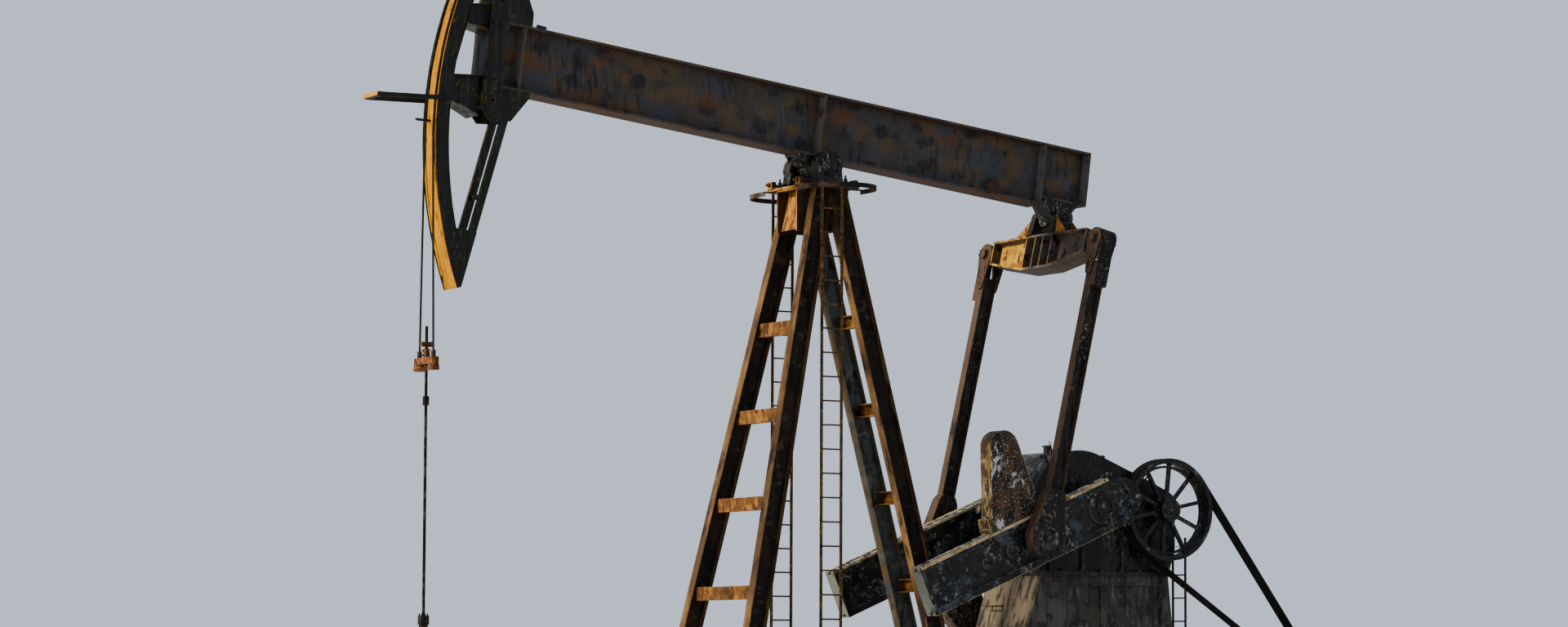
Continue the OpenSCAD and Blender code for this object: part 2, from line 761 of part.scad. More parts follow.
head_mid = beam_seat + beam_depth / 2;
post_x = beam_head + 200;        // front of the head's post, from the saddle axis
post_back = beam_head - 60;      // the side plates lap the end of the beam
rim_out = head_r + 12;           // the side plates stand proud of the face
strut_half = 50;
strut_foot = [[-beam_head + 154, head_mid - 820], [-beam_head + 154, head_mid + 820]];
strut_tip = [for (a = [-head_low, head_high]) (rim_out + 5) * [-cos(a), sin(a)]];
strut_dir = [for (i = [0, 1]) (strut_tip[i] - strut_foot[i]) / norm(strut_tip[i] - strut_foot[i])];
strut_rear = [for (i = [0, 1]) (i == 0 ? 1 : -1) * strut_half * [-strut_dir[i].y, strut_dir[i].x]];

// Everything in front of the rear edges of the two struts
module before_struts() {
    polygon([[-9000, -4000], strut_tip[0] + strut_rear[0] + 900 * strut_dir[0], strut_foot[0] + strut_rear[0],
        strut_foot[1] + strut_rear[1], strut_tip[1] + strut_rear[1] + 900 * strut_dir[1], [-9000, 4500]]);
}

// Rim with its closed ends, and post with the knees above and below the beam
module head_side_outline() {
    intersection() {
        before_struts();
        union() {
            sector(rim_in, rim_out, -head_low, head_high);
            intersection() {
                sector(rim_in - 1200, rim_in + 20, -head_low, head_high);
                union() {
                    translate([-9000, -9000 - head_r * 0.313]) square([9000, 9000]);
                    translate([-9000, head_r * 0.36]) square([9000, 9000]);
                }
            }
        }
    }
    polygon([[-post_x, head_mid - 690], [1 - post_x + 149, head_mid - 850], [-beam_head + 235, head_mid - 808],
        [-beam_head + 450, head_mid - 480], [-beam_head + 450, beam_seat], [-post_back, beam_seat],
        [-post_back, beam_top], [-beam_head + 378, beam_top], [-beam_head + 372, head_mid + 580],
        [-beam_head + 294, head_mid + 734], [-beam_head + 235, head_mid + 808], [150 - post_x, head_mid + 850],
        [-post_x, head_mid + 690]]);
}

module head_side(s) {
    color("#2e2a20") on_beam() {
        side_plate_xz(s, side_in, head_width / 2) head_side_outline();
        // Heavy strap up the post, proud of the plate
        side_plate_xz(s, head_width / 2, head_width / 2 + 12)
            polygon([[-post_x - 12, head_mid + 380], [20 - post_x, head_mid - 277], [12 - post_x, head_mid - 600],
                [145 - post_x, head_mid - 835], [245 - post_x, head_mid - 600], [260 - post_x, head_mid - 402],
                [242 - post_x, head_mid - 234], [210 - post_x, head_mid + 441], [210 - post_x, head_mid + 600],
                [100 - post_x, head_mid + 840], [-post_x, head_mid + 690]]);
    }
}

// Gusset boxes between the rim and the post leave a window between them; outlines from the rim to the post
gussets = [[[-head_r, 152], [-post_x, 238], [-post_x, -270], [-post_x - 190, -195], [-head_r, -140]],
    [[-head_r, 858], [-post_x, 802], [-post_x, 1142], [-post_x - 270, 1081], [-head_r, 1050]]];

module inside_rim() {
    intersection() {
        children();
        circle(face_in - fit, $fn = 360);
    }
}

module head_post() {
    plate = 14;
    color("#2e2a20") on_beam() {
        for (x = [-beam_head - 20, -post_x])
            translate([x, -side_in, head_mid - 690]) cube([20, 2 * side_in, 1380]);
        for (z = [head_mid - 690, head_mid - 10, head_mid + 670])
            translate([-post_x, -side_in, z]) cube([post_x - beam_head, 2 * side_in, 20]);
        for (g = gussets) {
            for (s = sides) side_plate_xz(s, side_in - 64, side_in - 64 + plate) inside_rim() polygon(g);
            up = sign(g[2].y - g[1].y);
            for (e = [[g[0], g[1], up], [g[3], g[2], -up], [g[4], g[3], -up]])
                xz_plate(-side_in, side_in) inside_rim()
                    polygon([e[0], e[1], e[1] + [0, e[2] * plate], e[0] + [0, e[2] * plate]]);
        }
    }
}

// Paired struts from the web's corners to the ends of the rim
module head_struts() {
    color("#3a3226") on_beam() for (i = [0, 1]) let (a = strut_foot[i], b = strut_tip[i], d = strut_dir[i], n = strut_rear[i]) {
        for (s = sides) side_plate_xz(s, side_in - 45, side_in)
            intersection() {
                polygon([a - d * 40 + n, b + n, b - n, a - d * 40 - n]);
                sector(rim_in - 1600, face_in - fit, -head_low, head_high);
            }
        xz_plate(-side_in + 45, side_in - 45) translate((a + b) / 2 - d * 110) rotate(atan2(d.y, d.x))
            square([60, 20], center = true);
    }
}

// Bars that reach out round the ropes, closed by a plate
module head_guard() {
    back = [170 - head_r, -132];
    tip = [-head_r - 750, -262];
    color("#7a6a24") on_beam() {
        for (s = sides) side_plate_xz(s, head_width / 2 + fit, head_width / 2 + 18)
            polygon([back + [0, -29], back + [0, 29], tip + [0, 29], tip + [0, -29]]);
        xz_plate(-head_width / 2 - 18, head_width / 2 + 18)
            polygon([tip + [0, -29], tip + [0, 29], tip + [-66, 25], tip + [-66, -25]]);
    }
}

// The part of the ropes that lies on the face
module bridle_wrap() {
    color("#26221f") on_beam() for (s = sides)
        translate([0, s * rope_gap / 2, 0]) rotate([90, 0, 0]) rotate([0, 0, 180 - head_high + 1])
            rotate_extrude(angle = head_high - 1 - rope_low, $fn = 360) translate([rope_r, 0]) circle(rope_d / 2, $fn = 16);
}

// Equalizer and pitmans

pin_x = 100;                     // half length of the boss on an upper pin
upper_pin_r = 50;
cheek_t = 26;
cheek_r = 150;

// Outline of the equalizer in Y and Z, shrunk by e
module equalizer_outline(e = 0) {
    y_end = pitman_y - 190;
    z = pitman_len;
    deep = equalizer_depth - 160;
    polygon([[-y_end, z - 170 + e], [-300, z - deep + e], [300, z - deep + e], [y_end, z - 170 + e],
        [y_end, z + 150 - e], [300, z + 160 - e], [-300, z + 160 - e], [-y_end, z + 150 - e]]);
}

// Deep I-beam across the two pitmans, hung from the tail pin by two bearing plates
module equalizer_beam() {
    flange = 28;
    z = pitman_len;
    y_end = pitman_y - 190;
    hang_in = beam_width / 2 + 22;
    hang_out = beam_width / 2 + 130;
    color("#8a5a2a") on_pitman() {
        x_bar(-12, 12) equalizer_outline();
        x_bar(-150, 150) difference() {
            equalizer_outline();
            translate([0, 0]) equalizer_outline(flange);
            for (s = sides) translate([s > 0 ? y_end - 1 : -y_end - 49, z - 80]) square([50, 160]);
        }
        x_bar(-140, 140) intersection() {
            equalizer_outline();
            for (y = [-300, -90, 90, 300, -y_end + 9, y_end - 9]) translate([y - 9, z - 600]) square([18, 1200]);
        }
        // Bosses on the upper pins
        difference() {
            for (s = sides) {
                translate([-pin_x, s * pitman_y, z]) rotate([0, 90, 0]) cylinder(h = 2 * pin_x, r = 118);
                translate([-pin_x + 10, s > 0 ? y_end - 1 : -pitman_y, z - 95])
                    cube([2 * pin_x - 20, pitman_y - y_end + 1, 190]);
            }
            for (s = sides) translate([-300, s * pitman_y, z]) rotate([0, 90, 0])
                cylinder(h = 600, r = upper_pin_r + fit);
        }
        // Hanger with its two bearings on the tail pin
        difference() {
            for (s = sides) side_plate_xz(s, hang_in, hang_out) {
                translate([0, z + equalizer_drop]) circle(130);
                polygon([[-128, z + equalizer_drop - 20], [128, z + equalizer_drop - 20], [150, z + 180],
                    [190, z + 150], [-190, z + 150], [-150, z + 180]]);
            }
            y_rod(tail_shaft_r + run, -hang_out - 1, hang_out + 1, 0, z + equalizer_drop);
        }
    }
}

// Teardrop outline of a cheek plate, in Y and Z about the upper pin
module cheek() {
    tip = 420;
    circle(cheek_r);
    translate([0, -tip]) circle(64);
    polygon([[-cheek_r + 3, -30], [-63, -tip - 10], [63, -tip - 10], [cheek_r - 3, -30]]);
}

module pitman(s) {
    len = pitman_len;
    bar = pitman_w / 2;
    out = pitman_y + pitman_t / 2;
    color("#4d3a2c") on_pitman() {
        // Wrist bearing housing with its neck
        difference() {
            side_plate_xz(s, pitman_in, out) {
                circle(wrist_r);
                polygon([[-wrist_r + 6, 60], [-bar - 70, 400], [-bar - 45, 560], [-bar, 640],
                    [bar, 640], [bar + 45, 560], [bar + 70, 400], [wrist_r - 6, 60]]);
            }
            side_rod(s, 150, out - 20, out + 60);
        }
        // Bar of I-section
        translate([0, s * pitman_y, 600]) linear_extrude(len - 900)
            i_section(pitman_w, 130, 14, 12);
        // Cheek plates with three small holes, and the rounded cap between them
        difference() {
            for (x = [-pin_x - 2 - cheek_t, pin_x + 2]) translate([0, s * pitman_y, len])
                x_bar(x, x + cheek_t) cheek();
            for (h = [-250, -330, -410]) translate([-400, s * pitman_y, len + h]) rotate([0, 90, 0])
                cylinder(h = 800, r = 15, $fn = 24);
        }
        translate([0, s * pitman_y, len]) x_bar(-pin_x - 2, pin_x + 2) {
            intersection() {
                difference() {
                    circle(cheek_r);
                    circle(cheek_r - 16);
                }
                translate([s > 0 ? 0 : -200, 0]) square([200, 200]);
            }
            translate([s > 0 ? cheek_r - 16 : -cheek_r, -620]) square([16, 621]);
            translate([s > 0 ? 0 : -cheek_r, -620]) square([cheek_r, 16]);
        }
        for (x = [-pin_x - 2, pin_x - 14]) translate([x, s > 0 ? pitman_y : -pitman_y - cheek_r, len - 620])
            cube([16, cheek_r, 320]);
        // Pin through the cheeks
        translate([-pin_x - cheek_t - 40, s * pitman_y, len]) rotate([0, 90, 0])
            cylinder(h = 2 * (pin_x + cheek_t + 40), r = upper_pin_r);
        for (x = [-pin_x - cheek_t - 16, pin_x + cheek_t]) translate([x, s * pitman_y, len]) rotate([0, 90, 0])
            cylinder(h = 16, r = 78);
    }
    // Wrist pin, which ends just short of the crank
    color("dimgray") on_pitman() side_rod(s, 62, crank_out + 8, out + 10);
}

// Hanger

module bridle_drop() {
    top = saddle_z;
    low = carrier_z;
    color("#26221f") for (s = sides) {
        p = [rod_x, s * rope_gap / 2, top];
        q = [rod_x, s * carrier_gap / 2, low];
        on_leg(q, p) cylinder(h = norm(p - q) - 1, r = rope_d / 2, $fn = 16);
    }
}

module carrier_bar() {
    color("sienna") {
        difference() {
            union() {
                translate([rod_x - 45, -carrier_gap / 2 - 60, carrier_z - 20]) cube([90, carrier_gap + 120, 80]);
                for (s = sides) translate([rod_x, s * carrier_gap / 2, carrier_z - 100])
                    cylinder(h = 120, r1 = 78, r2 = 62);
            }
            translate([rod_x, 0, carrier_z - 200]) cylinder(h = 400, r = rod_d / 2 + fit);
            for (s = sides) translate([rod_x, s * carrier_gap / 2, carrier_z - 0.6]) cylinder(h = 200, r = rope_d / 2 + 2);
        }
        // Clamp on the rod
        difference() {
            translate([rod_x, 0, carrier_z + 60]) cylinder(h = 110, r = 42);
            translate([rod_x, 0, carrier_z + 50]) cylinder(h = 130, r = rod_d / 2 + fit);
        }
        translate([rod_x - 70, -30, carrier_z + 190]) difference() {
            cube([140, 60, 60]);
            translate([70, 30, -1]) cylinder(h = 62, r = rod_d / 2 + fit);
        }
    }
}

module polished_rod() {
    color("#3a3634") translate([rod_x, 0, 0]) {
        translate([0, 0, 400]) cylinder(h = carrier_z + 440 - 400, r = rod_d / 2);
        translate([0, 0, 4250]) cylinder(h = 110, r = 40);
    }
}

module wellhead() {
    bore = rod_d / 2 + 8;
    packing = rod_d / 2 + run;
    color("dimgray") difference() {
        translate([rod_x, 0, 0]) {
            cylinder(h = 45, r = 210);
            cylinder(h = 900, r = 110);
            for (z = [560, 612, 860]) translate([0, 0, z]) cylinder(h = 44, r = 180);
            cylinder(h = 1420, r = 80);
            translate([0, 0, 1180]) cylinder(h = 60, r = 130);
            cylinder(h = stuffing_z - 40, r = 55);
            translate([0, 0, stuffing_z - 110]) cylinder(h = 110, r = 70);
            translate([0, -130, stuffing_z - 70]) rotate([-90, 0, 0]) cylinder(h = 260, r = 16, $fn = 24);
            translate([0, -240, 1040]) rotate([-90, 0, 0]) cylinder(h = 480, r = 60);
            for (s = sides) translate([0, s > 0 ? 240 : -270, 1040]) rotate([-90, 0, 0]) cylinder(h = 30, r = 105);
        }
        translate([rod_x, 0, -1]) cylinder(h = stuffing_z - 100, r = bore);
        translate([rod_x, 0, -1]) cylinder(h = stuffing_z + 2, r = packing);
        for (i = [0:7]) translate([rod_x, 0, -1]) rotate(i * 45 + 22.5) translate([175, 0, 0])
            cylinder(h = 60, r = 13, $fn = 24);
    }
}

base_rail(-1);  // base_rail_near
base_rail(1);  // base_rail_far
base_cross_members();
color("saddlebrown") leg(front_foot(-1), front_head(-1), false);  // front_leg_near
color("saddlebrown") leg(front_foot(1), front_head(1), false);  // front_leg_far
color("saddlebrown") leg(rear_foot(-1), rear_head(-1), true);  // rear_leg_near
color("gray") leg(rear_foot(1), rear_head(1), true);  // rear_leg_far
front_braces();
rear_braces();
post_head();
saddle_bearings();
ladder(-1);  // ladder_near
ladder(1);  // ladder_far
ladder_hoops();
pedestal();
pedestal_ladders();
gearbox_case();
gearbox_cover();
motor_stand();
motor();
motor_pulley();
drive_belts();
wellhead();
walking_beam();
beam_stiffeners();
saddle_shaft();
tail_bracket();
head_face();
head_side(-1);  // head_side_near
head_side(1);  // head_side_far
head_post();
head_struts();
head_guard();
bridle_wrap();
equalizer_beam();
pitman(-1);  // pitman_near
pitman(1);  // pitman_far
crank(-1);  // crank_near
crank(1);  // crank_far
weight(-1, 1);  // weight_near
weight(1, -1);  // weight_far
crank_shaft();
belt_sheave();
brake_drum();
bridle_drop();
carrier_bar();
polished_rod();
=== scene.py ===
# %% [markdown]
# A pumpjack lifts oil with a beam that rocks on a tall post. Everything is built in metres,
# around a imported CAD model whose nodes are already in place. This lesson dresses those nodes in
# weathered finishes and adds the small parts that a plain solid lacks.

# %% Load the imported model
import json
import math

import bpy
from mathutils import Matrix, Vector


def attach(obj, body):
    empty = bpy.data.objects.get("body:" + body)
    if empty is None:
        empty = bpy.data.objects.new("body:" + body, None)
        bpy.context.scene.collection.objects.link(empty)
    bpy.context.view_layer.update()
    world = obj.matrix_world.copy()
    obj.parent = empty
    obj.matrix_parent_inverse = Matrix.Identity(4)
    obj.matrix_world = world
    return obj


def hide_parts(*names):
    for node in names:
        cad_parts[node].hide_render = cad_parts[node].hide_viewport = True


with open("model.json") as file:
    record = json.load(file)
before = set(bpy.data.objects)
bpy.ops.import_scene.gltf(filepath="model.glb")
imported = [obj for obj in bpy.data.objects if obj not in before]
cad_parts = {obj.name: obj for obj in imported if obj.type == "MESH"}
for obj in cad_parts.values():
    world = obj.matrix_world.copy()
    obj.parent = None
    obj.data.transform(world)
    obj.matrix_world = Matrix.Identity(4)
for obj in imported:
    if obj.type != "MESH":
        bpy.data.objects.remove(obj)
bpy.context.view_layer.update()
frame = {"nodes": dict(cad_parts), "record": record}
node = frame["nodes"]
print("CAD nodes:", len(node))

# %% [markdown]
# The photograph was taken from far away with a long lens, standing low and to the left of the
# well. The camera gets the same place, turn and lens, and looks up by the few degrees that put
# the beam in the middle of the frame and leave the base below its edge.

# %% Camera
CAMERA_PLACE = Vector((-27.413, -46.474, 1.013))
CAMERA_YAW = math.radians(30.154)     # turned from +Y towards +X
CAMERA_PITCH = math.radians(4.875)
CAMERA_ROLL = math.radians(0.25)
LENS_MM = 97.51
SENSOR_MM = 36.0
STUDIO_WIDTH = 400.0

ahead = Vector((math.sin(CAMERA_YAW) * math.cos(CAMERA_PITCH),
                math.cos(CAMERA_YAW) * math.cos(CAMERA_PITCH), math.sin(CAMERA_PITCH)))
level = Vector((math.cos(CAMERA_YAW), -math.sin(CAMERA_YAW), 0))
upward = level.cross(ahead)
right = math.cos(CAMERA_ROLL) * level + math.sin(CAMERA_ROLL) * upward
upward = right.cross(ahead)

lens = bpy.data.cameras.new("camera")
lens.lens = LENS_MM
lens.sensor_width = SENSOR_MM
lens.clip_end = STUDIO_WIDTH
camera = bpy.data.objects.new("camera", lens)
camera.matrix_world = Matrix((
    (right.x, upward.x, -ahead.x, CAMERA_PLACE.x),
    (right.y, upward.y, -ahead.y, CAMERA_PLACE.y),
    (right.z, upward.z, -ahead.z, CAMERA_PLACE.z),
    (0, 0, 0, 1)))
bpy.context.scene.collection.objects.link(camera)
bpy.context.scene.camera = camera

# %% [markdown]
# A studio for something this large is a wide pale floor under an even sky, with one broad, soft
# lamp from the left, where the low sun stands in the photograph. A second weak lamp opens the
# shadows on the near side.

# %% Floor and light
bpy.ops.object.select_all(action="DESELECT")
bpy.ops.mesh.primitive_plane_add(size=STUDIO_WIDTH, location=(0, 0, -0.002))
floor = bpy.context.object
floor.name = "studio_floor"

world = bpy.data.worlds.new("soft_sky")
world.use_nodes = True
sky_nodes = world.node_tree.nodes
sky_links = world.node_tree.links
sky = sky_nodes["Background"]
sky.inputs["Color"].default_value = (0.68, 0.79, 0.98, 1)
sky.inputs["Strength"].default_value = 0.60

# The lens sees a paler backdrop than the light that the sky gives, as a studio's paper would be.
paper = sky_nodes.new("ShaderNodeBackground")
paper.inputs["Color"].default_value = (0.66, 0.76, 0.90, 1)
paper.inputs["Strength"].default_value = 1.0
ray = sky_nodes.new("ShaderNodeLightPath")
choice = sky_nodes.new("ShaderNodeMixShader")
sky_links.new(ray.outputs["Is Camera Ray"], choice.inputs["Fac"])
sky_links.new(sky.outputs["Background"], choice.inputs[1])
sky_links.new(paper.outputs["Background"], choice.inputs[2])
sky_links.new(choice.outputs["Shader"], sky_nodes["World Output"].inputs["Surface"])
bpy.context.scene.world = world


def lamp(name, place, target, size, watts, tint):
    """A square soft lamp that faces its target."""
    data = bpy.data.lights.new(name, "AREA")
    data.size = size
    data.energy = watts
    data.color = tint
    lamp_object = bpy.data.objects.new(name, data)
    lamp_object.location = place
    turn = (Vector(target) - Vector(place)).to_track_quat("-Z", "Y")
    lamp_object.rotation_euler = turn.to_euler()
    bpy.context.scene.collection.objects.link(lamp_object)


lamp("key_lamp", (-66, 14, 34), (0, 0, 4.5), 12.0, 118000, (1.0, 0.88, 0.72))
lamp("fill_lamp", (16, -30, 14), (2, 0, 4), 14.0, 1500, (0.86, 0.92, 1.0))

# %% [markdown]
# Each finish is built like the real one: a ground coat first, then whatever lies over it, layer
# by layer. A layer is a patch of rust or flaked paint, a streak of oil that ran down, a worn
# edge, or a coat on the faces that point one way: dust on top faces, dark streaks, and on the
# side towards the key lamp a brighter tone that is painted sunlight. Sizes are given in
# millimetres, because that is how flakes and streaks are measured on the real steel.

# %% Colour and node helpers


def linear(hex_code):
    """Turns an sRGB hex colour into Blender's linear colour."""
    parts = [int(hex_code[i:i + 2], 16) / 255 for i in (1, 3, 5)]
    return tuple(c / 12.92 if c <= 0.04045 else ((c + 0.055) / 1.055) ** 2.4 for c in parts) + (1.0,)


def add(tree, kind, sockets=None, **settings):
    """Adds one node, sets its properties, and fills or links its sockets."""
    new = tree.nodes.new(kind)
    for key, value in settings.items():
        setattr(new, key, value)
    for socket, value in (sockets or {}).items():
        if isinstance(value, bpy.types.NodeSocket):
            tree.links.new(value, new.inputs[socket])
        else:
            new.inputs[socket].default_value = value
    return new


# %% [markdown]
# One function lays the coats. It works out a mask for each layer and mixes the layer's colour,
# roughness and height over what is below. Patches come from noise cut at a level, streaks from
# the same noise drawn out along the height, edges from the bevel node, and the facing coats from
# the way a face points; on the faces towards the key lamp these paint sunlight into the colour.

# %% Building a finish from its coats


def cut_cloud(tree, place, size_mm, shape, cover, soft, seed, coat):
    """Noise or round billows of one size, cut at a level: 0 outside a patch and 1 inside."""
    squeeze = tuple(1000 / (part * size_mm) for part in shape)
    moved = add(tree, "ShaderNodeMapping", {
        "Vector": place, "Location": (seed * 3.1, seed * 1.7, seed * 2.3), "Scale": squeeze})
    cloud = add(tree, "ShaderNodeTexNoise", {
        "Vector": moved.outputs[0], "Scale": 1.0, "Detail": coat.get("detail", 5.0),
        "Roughness": coat.get("ragged", 0.6), "Distortion": coat.get("twist", 0.0)})
    value = cloud.outputs["Fac"]
    if coat.get("billow"):
        lobes = add(tree, "ShaderNodeTexVoronoi", {
            "Vector": moved.outputs[0], "Scale": 1.3, "Smoothness": 0.25}, feature="SMOOTH_F1")
        value = add(tree, "ShaderNodeMath", {0: lobes.outputs["Distance"], 1: -0.55, 2: 0.74},
                    operation="MULTIPLY_ADD").outputs[0]
        value = add(tree, "ShaderNodeMix", {0: 0.5, 2: value, 3: cloud.outputs["Fac"]}).outputs[0]
    cut = 0.70 - 0.40 * cover
    return add(tree, "ShaderNodeMapRange", {
        "Value": value, "From Min": cut - soft, "From Max": cut + soft},
        interpolation_type="SMOOTHSTEP").outputs[0]


def layer_mask(tree, place, coat, seed):
    """A 0 to 1 mask of where one coat shows."""
    shape = coat.get("shape", (1, 1, coat.get("stretch", 1)))
    mask = cut_cloud(tree, place, coat.get("size_mm", 100), shape, coat.get("cover", 0.5),
                     coat.get("soft", 0.04), seed, coat)
    limits = []
    if "cluster_mm" in coat:
        limits.append(cut_cloud(tree, place, coat["cluster_mm"], (1, 1, 1), coat.get("clusters", 0.5),
                                0.07, seed + 20, {}))
    if coat["kind"] == "edge":
        bevel = add(tree, "ShaderNodeBevel", {"Radius": coat["edge_mm"] / 1000}, samples=6)
        flat = add(tree, "ShaderNodeNewGeometry")
        turned = add(tree, "ShaderNodeVectorMath", {
            0: bevel.outputs[0], 1: flat.outputs["Normal"]}, operation="DOT_PRODUCT")
        limits.append(add(tree, "ShaderNodeMapRange", {
            "Value": turned.outputs["Value"], "From Min": 0.995, "From Max": 0.90}).outputs[0])
    # A coat with a direction shows only on faces that point that way; aimed at the key lamp's side, its
    # lighter colour is painted sunlight.
    if "towards" in coat:
        flat = add(tree, "ShaderNodeNewGeometry")
        facing = add(tree, "ShaderNodeVectorMath", {
            0: flat.outputs["Normal"], 1: coat["towards"]}, operation="DOT_PRODUCT")
        limits.append(add(tree, "ShaderNodeMapRange", {
            "Value": facing.outputs["Value"], "From Min": 0.5, "From Max": 0.85}).outputs[0])
    if coat["kind"] == "band":
        axis = add(tree, "ShaderNodeSeparateXYZ", {"Vector": place})
        limits.append(add(tree, "ShaderNodeMapRange", {
            "Value": axis.outputs[coat["axis"]], "From Min": coat["start"], "From Max": coat["end"]},
            interpolation_type="SMOOTHSTEP").outputs[0])
    if "strength" in coat:
        limits.append(coat["strength"])
    for limit in limits:
        mask = add(tree, "ShaderNodeMath", {0: mask, 1: limit}, operation="MULTIPLY").outputs[0]
    return mask


def finish(name, ground, rough, coats, metallic=0.0, grain_mm=12, relief_mm=1.5, shine=0.15):
    """A weathered finish: a ground coat with named coats over it."""
    material = bpy.data.materials.new(name)
    material.use_nodes = True
    tree = material.node_tree
    shader = tree.nodes["Principled BSDF"]
    shader.inputs["Metallic"].default_value = metallic
    shader.inputs["Specular IOR Level"].default_value = shine
    place = add(tree, "ShaderNodeTexCoord").outputs["Object"]
    grain = add(tree, "ShaderNodeTexNoise", {
        "Vector": place, "Scale": 1000 / grain_mm, "Detail": 4.0, "Roughness": 0.7})
    tone = add(tree, "ShaderNodeMapRange", {
        "Value": grain.outputs["Fac"], "From Min": 0.3, "From Max": 0.7, "To Min": 0.62, "To Max": 1.32})
    colour = linear(ground)
    gloss = rough
    height = grain.outputs["Fac"]
    for seed, coat in enumerate(coats, start=1):
        mask = layer_mask(tree, place, coat, seed)
        colour = add(tree, "ShaderNodeMix", {0: mask, 6: colour, 7: linear(coat["colour"])},
                     data_type="RGBA").outputs[2]
        if gloss != coat.get("rough", rough):
            gloss = add(tree, "ShaderNodeMix", {
                0: mask, 2: gloss, 3: coat.get("rough", rough)}).outputs[0]
        if coat.get("raised"):
            height = add(tree, "ShaderNodeMath", {0: mask, 1: coat["raised"], 2: height},
                         operation="MULTIPLY_ADD").outputs[0]
    toned = add(tree, "ShaderNodeVectorMath", {0: colour, 1: tone.outputs[0]}, operation="MULTIPLY")
    relief = add(tree, "ShaderNodeBump", {
        "Height": height, "Strength": 0.7, "Distance": relief_mm / 1000})
    tree.links.new(toned.outputs[0], shader.inputs["Base Color"])
    # A roughness that is the same all over stays a plain value on the shader.
    if isinstance(gloss, bpy.types.NodeSocket):
        tree.links.new(gloss, shader.inputs["Roughness"])
    else:
        shader.inputs["Roughness"].default_value = gloss
    tree.links.new(relief.outputs[0], shader.inputs["Normal"])
    return material


# %% [markdown]
# The structure is rolled steel whose old paint has mostly gone. Bare steel in the open rusts to
# a dark brown that is rough and dull, with grey where paint still holds; the brighter brown and
# orange on its faces towards the key lamp are painted sunlight. Rust is an oxide, so it is no
# metal to the eye: metallic stays at zero.

# %% Rusted steel of the post, beam and base
# The side towards the key lamp. Lighter coats aimed at it are painted sunlight; darker ones are streaks of
# dirt.
WEST = (-1.0, -0.1, 0.1)

rusted_leg = finish("rusted_rolled_steel", "#17120e", 0.8, [
    {"kind": "patch", "colour": "#271c14", "size_mm": 420, "cover": 0.42, "soft": 0.10, "rough": 0.9},
    {"kind": "streak", "colour": "#0c0a09", "size_mm": 70, "stretch": 12, "cover": 0.45, "soft": 0.08,
     "cluster_mm": 900, "clusters": 0.6},
    {"kind": "patch", "colour": "#3a3022", "size_mm": 110, "cover": 0.30, "soft": 0.05, "raised": 0.5,
     "cluster_mm": 700},
    # Painted sunlight: a lighter brown over the faces towards the key lamp, with orange-brown rust patches
    # lit the same way.
    {"kind": "facing_coat", "towards": WEST, "colour": "#4c351d", "size_mm": 300, "cover": 1.1,
     "soft": 0.2, "strength": 0.9},
    {"kind": "facing_coat", "towards": WEST, "colour": "#6e512c", "size_mm": 380, "stretch": 2, "cover": 0.42,
     "soft": 0.1},
    {"kind": "facing_coat", "towards": WEST, "colour": "#1c140d", "size_mm": 120, "stretch": 4, "cover": 0.40,
     "soft": 0.06, "cluster_mm": 800},
    {"kind": "edge", "edge_mm": 8, "colour": "#70512c", "size_mm": 200, "stretch": 3, "cover": 0.46,
     "strength": 0.7},
])
grey_leg = finish("grey_paint_over_rust", "#3f4340", 0.7, [
    {"kind": "patch", "colour": "#2a231c", "size_mm": 260, "cover": 0.32, "soft": 0.06, "rough": 0.85},
    {"kind": "streak", "colour": "#191612", "size_mm": 50, "stretch": 14, "cover": 0.36, "soft": 0.04,
     "cluster_mm": 800, "clusters": 0.5},
    {"kind": "patch", "colour": "#565955", "size_mm": 180, "cover": 0.36, "soft": 0.03, "cluster_mm": 600},
    # Painted sunlight: warm brown on the faces towards the key lamp.
    {"kind": "facing_coat", "towards": WEST, "colour": "#5f4a28", "size_mm": 200, "cover": 0.6,
     "soft": 0.12, "strength": 0.7},
    {"kind": "edge", "edge_mm": 10, "colour": "#6a4a28", "size_mm": 120, "cover": 0.45, "strength": 0.6},
])
brace_rust = finish("orange_brown_rust", "#5d3a15", 0.85, [
    {"kind": "patch", "colour": "#3a240e", "size_mm": 180, "cover": 0.40, "soft": 0.09},
    {"kind": "patch", "colour": "#855921", "size_mm": 130, "cover": 0.38, "soft": 0.08, "raised": 0.4},
    {"kind": "streak", "colour": "#2a1a0b", "size_mm": 50, "stretch": 4, "cover": 0.32, "soft": 0.05,
     "cluster_mm": 400},
    {"kind": "edge", "edge_mm": 10, "colour": "#94682b", "size_mm": 90, "cover": 0.55, "strength": 0.7},
])
base_steel = finish("oily_rusted_base_steel", "#241b15", 0.75, [
    {"kind": "patch", "colour": "#3f2c16", "size_mm": 500, "cover": 0.45, "soft": 0.10},
    {"kind": "patch", "colour": "#120f0c", "size_mm": 260, "cover": 0.40, "soft": 0.06, "rough": 0.45},
    {"kind": "facing_coat", "towards": (0, 0, 1), "colour": "#5a4d2b", "size_mm": 180, "cover": 0.62,
     "soft": 0.14, "rough": 0.95, "strength": 0.7},
    {"kind": "edge", "edge_mm": 12, "colour": "#6b471c", "size_mm": 140, "cover": 0.55, "strength": 0.7},
])
ladder_rust = finish("thin_tan_rust", "#4a3419", 0.85, [
    {"kind": "patch", "colour": "#2b1d0e", "size_mm": 120, "cover": 0.42, "soft": 0.06},
    {"kind": "patch", "colour": "#735226", "size_mm": 60, "cover": 0.3, "soft": 0.05},
], grain_mm=20)

# %% [markdown]
# The beam's web is the largest flat face, and the photograph shows it well. Old grey paint has
# weathered in round billows, like clouds: cool dark grey, dull ochre, and two or three patches of
# redder rust. A noise alone gives ragged edges, so the clouds add the distance field of a smooth
# Voronoi pattern, whose cells make the round lobes.

